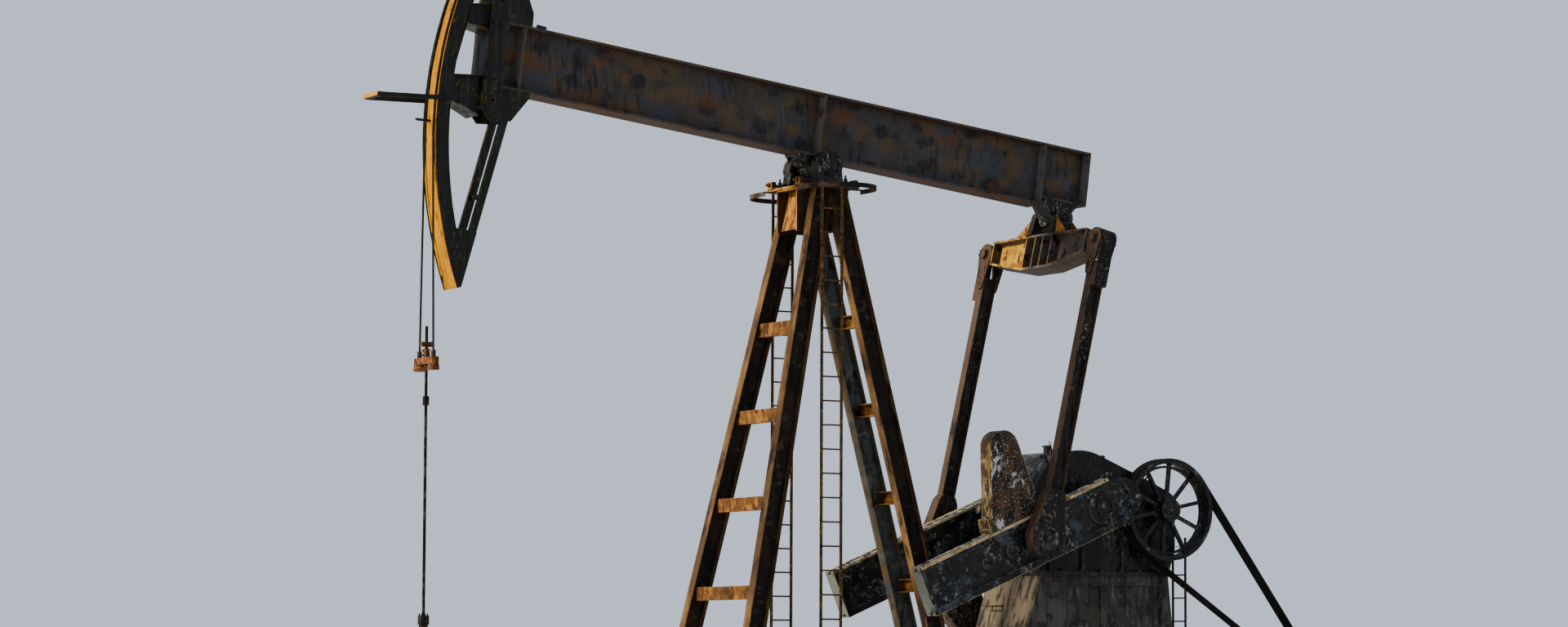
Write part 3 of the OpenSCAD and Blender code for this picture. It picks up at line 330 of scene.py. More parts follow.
# %% Finish of the walking beam
beam_paint = finish("billowed_grey_paint_and_rust", "#2b2a2c", 0.7, [
    {"kind": "cloud", "billow": True, "colour": "#3e3832", "size_mm": 620, "shape": (1.4, 1, 1),
     "cover": 0.66, "soft": 0.09, "detail": 4.0},
    {"kind": "cloud", "billow": True, "colour": "#3a3a40", "size_mm": 380, "shape": (1.3, 1, 1),
     "cover": 0.50, "soft": 0.05, "detail": 6.0},
    {"kind": "cloud", "billow": True, "colour": "#53432f", "size_mm": 430, "shape": (1.3, 1, 0.9),
     "cover": 0.46, "soft": 0.05, "detail": 6.0, "rough": 0.85, "strength": 0.8},
    {"kind": "cloud", "billow": True, "colour": "#1e1e22", "size_mm": 300, "shape": (1.3, 1, 1.1),
     "cover": 0.38, "soft": 0.04, "detail": 7.0, "strength": 0.85},
    {"kind": "patch", "colour": "#5a3a24", "size_mm": 520, "shape": (1.2, 1, 0.9), "cover": 0.28,
     "soft": 0.06, "rough": 0.9, "strength": 0.75},
    {"kind": "streak", "colour": "#4b4b50", "size_mm": 40, "stretch": 7, "cover": 0.34, "soft": 0.07,
     "strength": 0.5, "cluster_mm": 700, "clusters": 0.45},
    {"kind": "streak", "colour": "#141314", "size_mm": 60, "stretch": 5, "cover": 0.34, "soft": 0.07,
     "strength": 0.6, "cluster_mm": 900, "clusters": 0.45},
    # Painted light: warm brown on the faces that point up, for the lit top edge.
    {"kind": "facing_coat", "towards": (-0.12, 0, 1), "colour": "#5a3f24", "size_mm": 160, "cover": 0.7,
     "soft": 0.1, "strength": 0.9},
    # Painted light: warm brown on the faces that point down, for the lit edge of the lower flange.
    {"kind": "facing_coat", "towards": (0.12, 0, -1), "colour": "#43291a", "size_mm": 160, "cover": 0.8,
     "soft": 0.1, "strength": 0.85},
    # Painted sunlight: lighter grey on the faces towards the key lamp.
    {"kind": "facing_coat", "towards": WEST, "colour": "#6a6a68", "size_mm": 200, "cover": 0.75,
     "soft": 0.1, "strength": 0.85},
    {"kind": "edge", "edge_mm": 9, "colour": "#66492c", "size_mm": 160, "cover": 0.5, "strength": 0.7},
])

# %% [markdown]
# The head's face was painted yellow and still is, because the ropes keep it clean. The colour
# is worn through to a dark line along its edges and in scratches that run the way the ropes
# lie. The side plates are black with old oil, with dull yellow and pale flakes in it.

# %% Finishes of the head
yellow_face = finish("worn_yellow_enamel", "#986400", 0.7, [
    {"kind": "patch", "colour": "#b27a00", "size_mm": 420, "shape": (1, 0.4, 2), "cover": 0.45, "soft": 0.1},
    {"kind": "patch", "colour": "#6f4a00", "size_mm": 240, "shape": (1, 0.25, 2.4), "cover": 0.30,
     "soft": 0.05, "rough": 0.8},
    {"kind": "streak", "colour": "#2b2004", "size_mm": 16, "stretch": 30, "cover": 0.28, "soft": 0.03,
     "rough": 0.6, "strength": 0.85, "cluster_mm": 900},
    {"kind": "patch", "colour": "#352905", "size_mm": 90, "shape": (1, 0.6, 1.6), "cover": 0.22,
     "soft": 0.03, "raised": -0.4, "cluster_mm": 500},
    {"kind": "edge", "edge_mm": 10, "colour": "#231c07", "size_mm": 70, "cover": 0.6, "strength": 0.85},
], shine=0.04)
oily_head = finish("oil_blackened_paint", "#100f0d", 0.5, [
    {"kind": "patch", "colour": "#1d1b14", "size_mm": 260, "cover": 0.45, "soft": 0.08, "rough": 0.7},
    {"kind": "streak", "colour": "#3a3314", "size_mm": 40, "stretch": 9, "cover": 0.34, "soft": 0.04,
     "rough": 0.75, "strength": 0.7, "cluster_mm": 420, "clusters": 0.45},
    {"kind": "streak", "colour": "#070707", "size_mm": 60, "stretch": 12, "cover": 0.44, "soft": 0.05,
     "rough": 0.3},
    {"kind": "patch", "colour": "#5d572d", "size_mm": 36, "shape": (0.7, 1, 2), "cover": 0.24,
     "soft": 0.02, "rough": 0.85, "raised": 0.5, "cluster_mm": 260, "clusters": 0.36},
    {"kind": "edge", "edge_mm": 10, "colour": "#6b5511", "size_mm": 90, "cover": 0.42, "strength": 0.8},
])

# %% [markdown]
# The gearbox, cranks and weights are iron castings. Grease and oil have turned them nearly
# black and slightly glossy, and what is left of a grey coat has flaked into islands with sharp
# rims. The flakes lie in groups, because paint lifts where water stands, so their mask is
# multiplied by a second, coarser one.

# %% Finishes of the castings
greasy_iron = finish("greasy_black_casting", "#100f0e", 0.42, [
    {"kind": "patch", "colour": "#1f1c19", "size_mm": 220, "cover": 0.42, "soft": 0.07, "rough": 0.75},
    {"kind": "patch", "colour": "#595552", "size_mm": 90, "cover": 0.34, "soft": 0.02, "rough": 0.85,
     "raised": 0.7, "cluster_mm": 420, "clusters": 0.36},
    {"kind": "streak", "colour": "#070707", "size_mm": 60, "stretch": 9, "cover": 0.40, "soft": 0.05,
     "rough": 0.25},
    {"kind": "patch", "colour": "#3b3734", "size_mm": 26, "shape": (1, 1, 3), "cover": 0.42, "soft": 0.05,
     "twist": 1.2, "rough": 0.8, "cluster_mm": 300, "clusters": 0.5},
    # Pale raised flakes of real flaking paint, shown only on faces towards the key lamp as painted
    # highlights.
    {"kind": "facing_coat", "towards": (-0.75, 0, 0.65), "colour": "#67635a", "size_mm": 60, "stretch": 2,
     "cover": 0.36, "soft": 0.03, "raised": 0.5, "cluster_mm": 300},
    {"kind": "edge", "edge_mm": 9, "colour": "#6b6352", "size_mm": 110, "cover": 0.40, "strength": 0.8},
])
crank_paint = finish("flaked_paint_on_black_iron", "#171616", 0.48, [
    {"kind": "patch", "colour": "#282622", "size_mm": 260, "cover": 0.45, "soft": 0.08, "rough": 0.7},
    {"kind": "patch", "colour": "#707170", "size_mm": 62, "cover": 0.38, "soft": 0.02, "rough": 0.85,
     "raised": 0.7, "cluster_mm": 330, "clusters": 0.42},
    {"kind": "patch", "colour": "#3a4148", "size_mm": 150, "cover": 0.34, "soft": 0.03, "rough": 0.8,
     "cluster_mm": 500},
    {"kind": "patch", "colour": "#090909", "size_mm": 160, "cover": 0.38, "soft": 0.05, "rough": 0.28},
    {"kind": "facing_coat", "towards": (0, 0, 1), "colour": "#9b9b96", "size_mm": 90, "cover": 0.50,
     "soft": 0.03, "strength": 0.9},
    {"kind": "facing_coat", "towards": (-0.92, 0, -0.38), "colour": "#60685e", "size_mm": 200, "cover": 0.8,
     "soft": 0.1, "strength": 0.9},
    {"kind": "edge", "edge_mm": 10, "colour": "#8a8672", "size_mm": 130, "cover": 0.38, "strength": 0.6},
])
weight_paint = finish("flaking_paint_on_brown_iron", "#2a211c", 0.62, [
    {"kind": "patch", "colour": "#171412", "size_mm": 200, "shape": (1, 1, 1.6), "cover": 0.46,
     "soft": 0.06},
    {"kind": "patch", "colour": "#4a3726", "size_mm": 150, "shape": (1, 1, 2), "cover": 0.40,
     "soft": 0.04, "rough": 0.9, "raised": 0.4},
    {"kind": "patch", "colour": "#c4c1bf", "size_mm": 46, "shape": (1, 1, 2.5), "cover": 0.38,
     "soft": 0.02, "rough": 0.9, "raised": 0.7, "cluster_mm": 380, "clusters": 0.30},
    {"kind": "patch", "colour": "#8b8278", "size_mm": 26, "cover": 0.26, "soft": 0.03, "rough": 0.9},
    # Painted sunlight: lighter brown, pale flakes and yellowish patches on the faces towards the key lamp;
    # the flakes are also real flaked paint.
    {"kind": "facing_coat", "towards": WEST, "colour": "#40301f", "size_mm": 300, "cover": 1.1, "soft": 0.2},
    {"kind": "facing_coat", "towards": WEST, "colour": "#b8a988", "size_mm": 50, "stretch": 4, "cover": 0.38,
     "soft": 0.02, "rough": 0.9, "raised": 0.7, "cluster_mm": 300, "clusters": 0.45},
    {"kind": "facing_coat", "towards": WEST, "colour": "#8d7038", "size_mm": 120, "stretch": 3, "cover": 0.36,
     "soft": 0.03},
    # Painted highlight: very pale rims along every edge, over real edge wear.
    {"kind": "edge", "edge_mm": 10, "colour": "#e1cc92", "size_mm": 200, "stretch": 2, "cover": 0.50,
     "strength": 0.9},
])
sheave_iron = finish("oiled_black_iron", "#141415", 0.4, [
    {"kind": "patch", "colour": "#272425", "size_mm": 120, "cover": 0.42, "soft": 0.06, "rough": 0.7},
    {"kind": "patch", "colour": "#575252", "size_mm": 60, "cover": 0.28, "soft": 0.02, "rough": 0.85,
     "cluster_mm": 300},
    {"kind": "edge", "edge_mm": 7, "colour": "#68635e", "size_mm": 70, "cover": 0.44, "strength": 0.8},
])
pedestal_paint = finish("streaked_grey_paint", "#37342f", 0.7, [
    {"kind": "patch", "colour": "#494641", "size_mm": 520, "cover": 0.42, "soft": 0.08},
    {"kind": "patch", "colour": "#23211e", "size_mm": 240, "cover": 0.38, "soft": 0.05, "rough": 0.6},
    # Painted sunlight: lighter tan on the faces towards the key lamp.
    {"kind": "facing_coat", "towards": (-1, 0, 0.1), "colour": "#685d4c", "size_mm": 300, "cover": 1.0,
     "soft": 0.15, "strength": 0.95},
    {"kind": "streak", "colour": "#151412", "size_mm": 70, "stretch": 10, "cover": 0.40, "soft": 0.06,
     "rough": 0.35, "strength": 0.8},
    {"kind": "streak", "colour": "#66625c", "size_mm": 46, "stretch": 5, "cover": 0.33, "soft": 0.03,
     "rough": 0.9, "cluster_mm": 420, "clusters": 0.42, "strength": 0.6},
    {"kind": "edge", "edge_mm": 12, "colour": "#7d705d", "size_mm": 110, "cover": 0.45, "strength": 0.7},
])

# %% [markdown]
# The equalizer and the pitmans carry the pull between beam and cranks. The equalizer is rusted
# steel with orange-yellow painted sunlight on its faces towards the lamp, and the pitmans are dark
# brown with painted sunlight on the bright orange side where the low sun falls.

# %% Finishes of the equalizer and pitmans
equalizer_rust = finish("rust_with_painted_sunlit_face", "#4b443f", 0.72, [
    {"kind": "patch", "colour": "#57493b", "size_mm": 200, "cover": 0.45, "soft": 0.07},
    {"kind": "patch", "colour": "#1b1816", "size_mm": 150, "cover": 0.34, "soft": 0.05, "rough": 0.5},
    # Painted sunlight: orange-yellow on the faces towards the key lamp, on the far part of the equalizer
    # only.
    {"kind": "band", "axis": "Y", "start": 0.10, "end": 0.30, "towards": (-1, 0, 0), "colour": "#8a5c14",
     "size_mm": 400, "cover": 1.2, "soft": 0.1},
    {"kind": "band", "axis": "Y", "start": 0.10, "end": 0.30, "towards": (-1, 0, 0), "colour": "#b58a22",
     "size_mm": 190, "shape": (1, 1, 0.7), "cover": 0.48, "soft": 0.08},
    {"kind": "band", "axis": "Y", "start": 0.10, "end": 0.30, "towards": (-1, 0, 0), "colour": "#54321a",
     "size_mm": 120, "shape": (1, 1, 1.5), "cover": 0.34, "soft": 0.04},
    {"kind": "edge", "edge_mm": 8, "colour": "#a3906c", "size_mm": 140, "cover": 0.52, "strength": 0.8},
    {"kind": "band", "axis": "Z", "start": 6.80, "end": 6.86, "colour": "#171513", "size_mm": 300,
     "cover": 1.2, "soft": 0.1, "rough": 0.45},
    {"kind": "band", "axis": "Z", "start": 6.80, "end": 6.86, "colour": "#5f5a50", "size_mm": 55,
     "shape": (1, 1, 2), "cover": 0.36, "soft": 0.03, "cluster_mm": 250, "clusters": 0.5},
])
pitman_rust = finish("dark_brown_rusted_steel", "#211d1b", 0.72, [
    {"kind": "patch", "colour": "#302a25", "size_mm": 300, "cover": 0.42, "soft": 0.07},
    {"kind": "streak", "colour": "#11100f", "size_mm": 50, "stretch": 12, "cover": 0.4, "soft": 0.05},
    {"kind": "patch", "colour": "#6c655d", "size_mm": 40, "cover": 0.24, "soft": 0.03, "rough": 0.9,
     "cluster_mm": 400, "clusters": 0.4},
    # Painted sunlight: warm brown on the faces towards the key lamp.
    {"kind": "facing_coat", "towards": WEST, "colour": "#4c3a2b", "size_mm": 240, "cover": 0.9, "soft": 0.14,
     "strength": 0.85},
    {"kind": "facing_coat", "towards": WEST, "colour": "#1f1915", "size_mm": 90, "stretch": 4, "cover": 0.36,
     "soft": 0.05, "cluster_mm": 600},
    {"kind": "edge", "edge_mm": 11, "colour": "#7a5f44", "size_mm": 130, "cover": 0.5, "strength": 0.7},
])

# %% [markdown]
# The drive and the well have finishes of their own: worn grey-green enamel on the motor, rubber
# belts with dust on them, steel rope full of grease, and paint soaked with oil on the well. The
# polished rod is the one bright bare steel here, so it alone is nearly all metal to the eye.

# %% Finishes of the motor, belts, ropes and well
motor_enamel = finish("grey_green_enamel", "#333b37", 0.5, [
    {"kind": "patch", "colour": "#222825", "size_mm": 150, "cover": 0.42, "soft": 0.06, "rough": 0.6},
    {"kind": "patch", "colour": "#472f14", "size_mm": 60, "cover": 0.24, "soft": 0.03, "rough": 0.9},
    {"kind": "facing_coat", "towards": (0, 0, 1), "colour": "#655a33", "size_mm": 90, "cover": 0.6,
     "soft": 0.14, "rough": 0.95, "strength": 0.7},
    {"kind": "edge", "edge_mm": 6, "colour": "#5f522d", "size_mm": 60, "cover": 0.5, "strength": 0.8},
])
belt_rubber = finish("moulded_belt_rubber", "#0c0c0c", 0.75, [
    {"kind": "patch", "colour": "#191715", "size_mm": 90, "cover": 0.4, "soft": 0.1, "rough": 0.9},
], grain_mm=20, relief_mm=0.5)
greased_rope = finish("greased_wire_rope", "#17130f", 0.5, [
    {"kind": "patch", "colour": "#332612", "size_mm": 60, "cover": 0.35, "soft": 0.06, "rough": 0.7},
    {"kind": "patch", "colour": "#0a0908", "size_mm": 110, "cover": 0.38, "soft": 0.06, "rough": 0.35},
], metallic=0.3)
bright_rod = finish("oiled_polished_steel", "#4c4843", 0.28, [
    {"kind": "patch", "colour": "#1b1713", "size_mm": 120, "cover": 0.62, "soft": 0.08, "rough": 0.55},
], metallic=0.9, relief_mm=0.2)
well_paint = finish("oil_soaked_well_paint", "#171513", 0.45, [
    {"kind": "patch", "colour": "#2b2717", "size_mm": 120, "cover": 0.42, "soft": 0.06, "rough": 0.75},
    {"kind": "streak", "colour": "#0a0908", "size_mm": 40, "stretch": 8, "cover": 0.42, "soft": 0.05,
     "rough": 0.25},
    {"kind": "edge", "edge_mm": 8, "colour": "#55411f", "size_mm": 70, "cover": 0.45, "strength": 0.8},
])

# %% [markdown]
# Some parts have a tone of their own: the dark hoops, bearings caked with grease, the warm brown
# carrier bar, the deck of dark rust with orange painted sunlight on its side towards the lamp,
# crank edges rubbed pale, and the guard of black bars with yellow painted sunlight on the side of
# the low sun. The studio's floor is plain and matt.

# %% Finishes of the hoops, bearings, carrier, deck and guard
dark_hoop = finish("soot_dark_flat_bar", "#15110e", 0.75, [
    {"kind": "patch", "colour": "#2a1e15", "size_mm": 160, "cover": 0.42, "soft": 0.08},
    # Painted sunlight: brown on the faces towards the key lamp.
    {"kind": "facing_coat", "towards": WEST, "colour": "#5d4430", "size_mm": 140, "cover": 0.5, "soft": 0.1,
     "strength": 0.8},
    {"kind": "edge", "edge_mm": 5, "colour": "#5c4632", "size_mm": 120, "cover": 0.42, "strength": 0.7},
])
bearing_grease = finish("grease_caked_bearing", "#141212", 0.5, [
    {"kind": "patch", "colour": "#2f2b27", "size_mm": 90, "cover": 0.44, "soft": 0.06, "rough": 0.75,
     "twist": 1.5},
    {"kind": "patch", "colour": "#76716c", "size_mm": 40, "shape": (1, 1, 2.5), "cover": 0.38, "soft": 0.03,
     "twist": 1.0, "rough": 0.85, "raised": 0.8, "cluster_mm": 160, "clusters": 0.45},
    {"kind": "patch", "colour": "#090909", "size_mm": 70, "cover": 0.38, "soft": 0.05, "rough": 0.25},
], relief_mm=4)
carrier_rust = finish("warm_brown_forging", "#603714", 0.7, [
    {"kind": "patch", "colour": "#2b1b13", "size_mm": 90, "cover": 0.45, "soft": 0.07},
    {"kind": "patch", "colour": "#8f5622", "size_mm": 60, "cover": 0.32, "soft": 0.05, "raised": 0.4},
    {"kind": "edge", "edge_mm": 6, "colour": "#a16b2e", "size_mm": 60, "cover": 0.5, "strength": 0.8},
])
deck_rust = finish("dark_rust_plate_with_painted_sunlight", "#2c2018", 0.82, [
    {"kind": "patch", "colour": "#3c2b1c", "size_mm": 220, "cover": 0.42, "soft": 0.08},
    # Painted sunlight: orange and pale orange on the faces towards the key lamp.
    {"kind": "facing_coat", "towards": WEST, "colour": "#94601f", "size_mm": 400, "cover": 1.2, "soft": 0.2},
    {"kind": "facing_coat", "towards": WEST, "colour": "#b5803a", "size_mm": 140, "cover": 0.38, "soft": 0.08,
     "raised": 0.4},
    {"kind": "facing_coat", "towards": WEST, "colour": "#4f3113", "size_mm": 90, "stretch": 4, "cover": 0.36,
     "soft": 0.06},
    {"kind": "streak", "colour": "#15110e", "size_mm": 45, "stretch": 6, "cover": 0.36, "soft": 0.05,
     "cluster_mm": 500},
    {"kind": "edge", "edge_mm": 10, "colour": "#8f6a3a", "size_mm": 110, "cover": 0.45, "strength": 0.7},
])
rubbed_edge = finish("dust_on_rubbed_iron_edge", "#b59d74", 0.85, [
    {"kind": "patch", "colour": "#7d6544", "size_mm": 200, "cover": 0.36, "soft": 0.06},
    {"kind": "patch", "colour": "#3c3226", "size_mm": 70, "cover": 0.24, "soft": 0.04},
    {"kind": "patch", "colour": "#d2bf98", "size_mm": 110, "cover": 0.3, "soft": 0.06},
])
guard_paint = finish("black_bar_with_painted_sunlit_side", "#12110e", 0.55, [
    {"kind": "patch", "colour": "#24211a", "size_mm": 160, "cover": 0.42, "soft": 0.06, "rough": 0.75},
    # Painted sunlight: yellow on the faces towards the key lamp.
    {"kind": "facing_coat", "towards": (-0.98, 0, -0.2), "colour": "#b27a00", "size_mm": 300, "cover": 1.1,
     "soft": 0.2},
    {"kind": "edge", "edge_mm": 5, "colour": "#4f4423", "size_mm": 90, "cover": 0.4, "strength": 0.7},
])

floor_finish = bpy.data.materials.new("matt_studio_floor")
floor_finish.use_nodes = True
floor_shader = floor_finish.node_tree.nodes["Principled BSDF"]
floor_shader.inputs["Base Color"].default_value = linear("#d9d8d4")
floor_shader.inputs["Roughness"].default_value = 0.95
floor.data.materials.append(floor_finish)

# %% [markdown]
# Every CAD node has one finish. The record names a slot for each node, so the slot decides
# which finish the node wears, and the nodes that look different in the photograph are then
# changed one by one.

# %% Put the finishes on the CAD nodes
SLOT_FINISH = {
    "base_steel": base_steel, "rusted_leg_steel": rusted_leg, "grey_leg_steel": grey_leg,
    "brace_rust": brace_rust, "greasy_casting": greasy_iron, "ladder_steel": ladder_rust,
    "pedestal_paint": pedestal_paint, "motor_paint": motor_enamel, "belt_rubber": belt_rubber,
    "wellhead_steel": well_paint, "beam_steel": beam_paint, "yellow_paint": yellow_face,
    "oily_head_steel": oily_head, "wire_rope": greased_rope, "equalizer_rust": equalizer_rust,
    "pitman_steel": pitman_rust, "crank_paint": crank_paint, "weight_paint": weight_paint,
    "sheave_casting": sheave_iron, "rod_steel": bright_rod,
}
slot_of = {row["node"]: row["material_slot"] for row in frame["record"]["subparts"]}


def wear(node_name, material):
    """Puts one finish on all material slots of a CAD node."""
    slots = node[node_name].material_slots
    if not slots:
        node[node_name].data.materials.append(material)
    for slot in slots:
        slot.material = material


for node_name in node:
    wear(node_name, SLOT_FINISH[slot_of[node_name]])
wear("post_head", deck_rust)
wear("carrier_bar", carrier_rust)
wear("ladder_hoops", dark_hoop)
wear("saddle_bearings", bearing_grease)
wear("saddle_shaft", bearing_grease)
wear("tail_bracket", bearing_grease)
wear("head_guard", guard_paint)

# %% [markdown]
# New pieces are modelled the way a person would: add a primitive, shape it in edit mode, and put
# copies where they belong. A few helpers do what every piece needs: only, pick and settle select a
# piece, choose its faces or corners by their place, and put its place into its mesh. The helper
# keep gives a finished piece its name and finish and says what it rides on. The helper copies
# gives each copy a mesh of its own and joins those that ride together. The rest make a rod, a bar
# and a place, and round or smooth a piece.

# %% Helpers for modelling


def only(piece):
    """Leaves one object selected and active, in object mode."""
    if bpy.context.mode != "OBJECT":
        bpy.ops.object.mode_set(mode="OBJECT")
    bpy.ops.object.select_all(action="DESELECT")
    piece.select_set(True)
    bpy.context.view_layer.objects.active = piece
    return piece


def pick(piece, part, test):
    """Enters edit mode with only the vertices or faces selected that pass a test on their centre."""
    only(piece)
    bpy.ops.object.mode_set(mode="EDIT")
    bpy.ops.mesh.select_mode(type="FACE" if part == "faces" else "VERT")
    bpy.ops.mesh.select_all(action="DESELECT")
    bpy.ops.object.mode_set(mode="OBJECT")
    for face in piece.data.polygons if part == "faces" else []:
        face.select = bool(test(face.center, face.normal))
    for vertex in piece.data.vertices if part == "verts" else []:
        vertex.select = bool(test(vertex.co))
    bpy.ops.object.mode_set(mode="EDIT")


def settle(piece, place):
    """Moves a piece to its place and puts that place in its mesh."""
    only(piece)
    piece.matrix_world = place @ piece.matrix_world
    bpy.ops.object.transform_apply(location=True, rotation=True, scale=True)
    return piece


def keep(piece, name, body, material):
    """Names a finished piece, gives it its finish, and says what it rides on."""
    settle(piece, Matrix())
    piece.name = name
    piece.data.name = name
    piece.data.materials.clear()
    piece.data.materials.append(material)
    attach(piece, body)
    print(name, len(piece.data.polygons), "faces")
    return piece


def join(pieces):
    """Joins several mesh objects into the first one."""
    only(pieces[0])
    for other in pieces:
        other.select_set(True)
    if len(pieces) > 1:
        bpy.ops.object.join()
    return pieces[0]


def copies(pattern, places):
    """Copies a pattern to each place, each copy with its own mesh, and joins them."""
    twins = []
    for place in places:
        twin = pattern.copy()
        twin.data = pattern.data.copy()
        bpy.context.scene.collection.objects.link(twin)
        twins.append(settle(twin, place))
    bpy.data.objects.remove(pattern)
    return join(twins)


def at(x, y, z, towards=(0, 0, 1), turn=0.0):
    """A place whose own Z axis points towards a direction."""
    lean = Vector(towards).to_track_quat("Z", "Y").to_matrix().to_4x4()
    return Matrix.Translation((x, y, z)) @ lean @ Matrix.Rotation(turn, 4, "Z")


def rod(radius, length, sides=16, around=(0, 0, 0)):
    """A closed round or many-sided bar that stands on its place."""
    only(floor)
    x, y, z = around
    bpy.ops.mesh.primitive_cylinder_add(radius=radius, depth=length, vertices=sides,
                                        location=(x, y, z + length / 2))
    return settle(bpy.context.object, Matrix())


def bar(size, middle):
    """A plain bar with sharp edges; soften can round them."""
    only(floor)
    bpy.ops.mesh.primitive_cube_add(size=1.0, location=middle, scale=size)
    return settle(bpy.context.object, Matrix())


def soften(piece, width, steps=1, angle=40):
    """Rounds the sharp edges with a bevel that is applied."""
    only(piece)
    rounding = piece.modifiers.new("rounding", "BEVEL")
    rounding.width = width
    rounding.segments = steps
    rounding.limit_method = "ANGLE"
    rounding.angle_limit = math.radians(angle)
    bpy.ops.object.modifier_apply(modifier="rounding")
    return piece


def smooth(piece, angle=35):
    """Shades the shallow edges smooth and leaves the sharp ones."""
    only(piece)
    bpy.ops.object.shade_smooth_by_angle(angle=math.radians(angle))
    return piece


# The moving bodies rest tilted, so pieces on them are placed in the body's own frame.
SADDLE_Z = 7.480                      # the axis on which the beam rocks
SLOW_SHAFT = Vector((3.709, 0, 3.200))
WRIST = Vector((2.6975, 0, 2.7728))
BEAM = Matrix.Translation((0, 0, SADDLE_Z)) @ Matrix.Rotation(math.radians(7), 4, "Y")
CRANK = Matrix.Translation(SLOW_SHAFT) @ Matrix.Rotation(math.radians(-22.9), 4, "Y")
PITMAN = Matrix.Translation(WRIST) @ Matrix.Rotation(math.radians(12.90), 4, "Y")
PITMAN_TOP = 3.9665                   # upper pin, along the pitman from the wrist
TAIL_X = 3.700                        # tail pin, along the beam from the saddle
SIDES = (-1, 1)                       # near side, far side
CAMERA_SIDE = -1

# %% [markdown]
# Bolted joints are everywhere on such a machine, so one bolt is modelled well: a round washer, a
# six-sided nut with its corners turned down, and the end of the stud, chamfered at its tip. It stands
# on its place, and copies of it go to every flange.

# %% A hexagon nut on its stud


def nut_and_stud(across, stud=0.5):
    """A washer, a nut and a stud end, on z = 0; across is the width over the flats."""
    washer = soften(rod(across * 0.66, across * 0.12, 20), across * 0.03)
    nut = rod(across * 0.577, across * 0.8, 6, (0, 0, across * 0.1))
    pick(nut, "faces", lambda centre, normal: normal.z > 0.9)
    bpy.ops.mesh.bevel(offset=across * 0.09, segments=1, affect="EDGES")
    only(nut)
    screw = rod(across * 0.30, across * (0.9 + stud), 12)
    pick(screw, "faces", lambda centre, normal: normal.z > 0.9)
    bpy.ops.mesh.inset(thickness=across * 0.05)
    bpy.ops.transform.translate(value=(0, 0, across * 0.05))
    only(screw)
    return join([nut, washer, screw])


def ring_of(count, radius, start=0.0):
    """Places round a circle in the XY plane."""
    angles = [start + 2 * math.pi * i / count for i in range(count)]
    return [Matrix.Translation((radius * math.cos(a), radius * math.sin(a), 0)) for a in angles]


# %% [markdown]
# On the base, pairs of anchor bolts with plate washers hold the rails down, and stiffener plates
# stand in the webs between them. The photograph ends above them, but such a base has them.

# %% Base: anchor bolts and web stiffeners
RAIL_Y = 0.8                          # middle of each rail
ANCHOR_X = (-1.85, 0.30, 2.30, 4.40, 6.40, 7.60)
RIB_X = (-1.70, -0.60, 1.00, 2.15, 3.30, 4.60, 5.60, 6.75)
anchor_places = [at(x, side * RAIL_Y + edge * 0.06, 0.022)
                 for x in ANCHOR_X for side in SIDES for edge in SIDES]
plate = soften(bar((0.07, 0.052, 0.008), (0, 0, 0.004)), 0.0015)
anchor = join([settle(nut_and_stud(0.040), at(0, 0, 0.008)), plate])
keep(copies(anchor, anchor_places), "base_anchor_bolts", "frame", base_steel)

rib = soften(bar((0.012, 0.088, 0.300), (0, 0, 0.175)), 0.002)
rib_places = [Matrix.Translation((x, side * RAIL_Y + edge * 0.052, 0))
              for x in RIB_X for side in SIDES for edge in SIDES]
keep(copies(rib, rib_places), "base_web_stiffeners", "frame", base_steel)

# %% [markdown]
# The saddle bearings sit in grease. Each has a round end cover with a ring of screws, a grease
# nipple on top, and four studs that hold its foot to the deck.

# %% Saddle: end covers, grease nipples and foot studs
cover_parts = []
for side in SIDES:
    cover = smooth(soften(rod(0.128, 0.022, 40), 0.006, 2))
    pick(cover, "faces", lambda centre, normal: normal.z > 0.9)
    bpy.ops.mesh.inset(thickness=0.030)
    bpy.ops.mesh.extrude_region_move(TRANSFORM_OT_translate={"value": (0, 0, -0.009)})
    bpy.ops.mesh.inset(thickness=0.050)
    bpy.ops.mesh.extrude_region_move(TRANSFORM_OT_translate={"value": (0, 0, 0.012)})
    only(cover)
    screws = copies(nut_and_stud(0.022, 0.1), [Matrix.Translation((0, 0, 0.020)) @ spot
                                               for spot in ring_of(8, 0.112, 0.2)])
    cover_parts.append(settle(join([cover, screws]), at(0, side * 0.462, SADDLE_Z, (0, side, 0))))
    nipple = join([rod(0.011, 0.030, 6), rod(0.006, 0.045, 10), rod(0.009, 0.008, 10, (0, 0, 0.045))])
    cover_parts.append(settle(nipple, at(0, side * 0.355, 7.661)))
keep(join(cover_parts), "saddle_bearing_covers", "frame", bearing_grease)

stud_places = [at(x, side * y, 7.280)
               for side in SIDES for y in (0.300, 0.410) for x in (-0.245, 0.245)]
keep(copies(nut_and_stud(0.044, 0.9), stud_places), "saddle_base_studs", "frame",
     bearing_grease)

# %% [markdown]
# The bridle is greased wire rope: six strands laid round a core. A plain cylinder would be quick,
# but the twist is what makes a rope look like a rope. So one section of six small circles is
# turned and lifted by a Screw modifier, one full turn for each lay length of six and a half
# diameters. The straight ropes are leaned onto their line, and the ropes on the face of the head
# are laid round it with a Curve modifier that follows a circle.

# %% Wire ropes
ROPE_D = 0.028
ROPE_GAP = 0.236                      # between the two ropes on the face
CARRIER_GAP = 0.390
HEAD_R = 5.400
ROPE_R = HEAD_R + 0.0003 + ROPE_D / 2
ROD_X = -ROPE_R
CARRIER_Z = 4.770


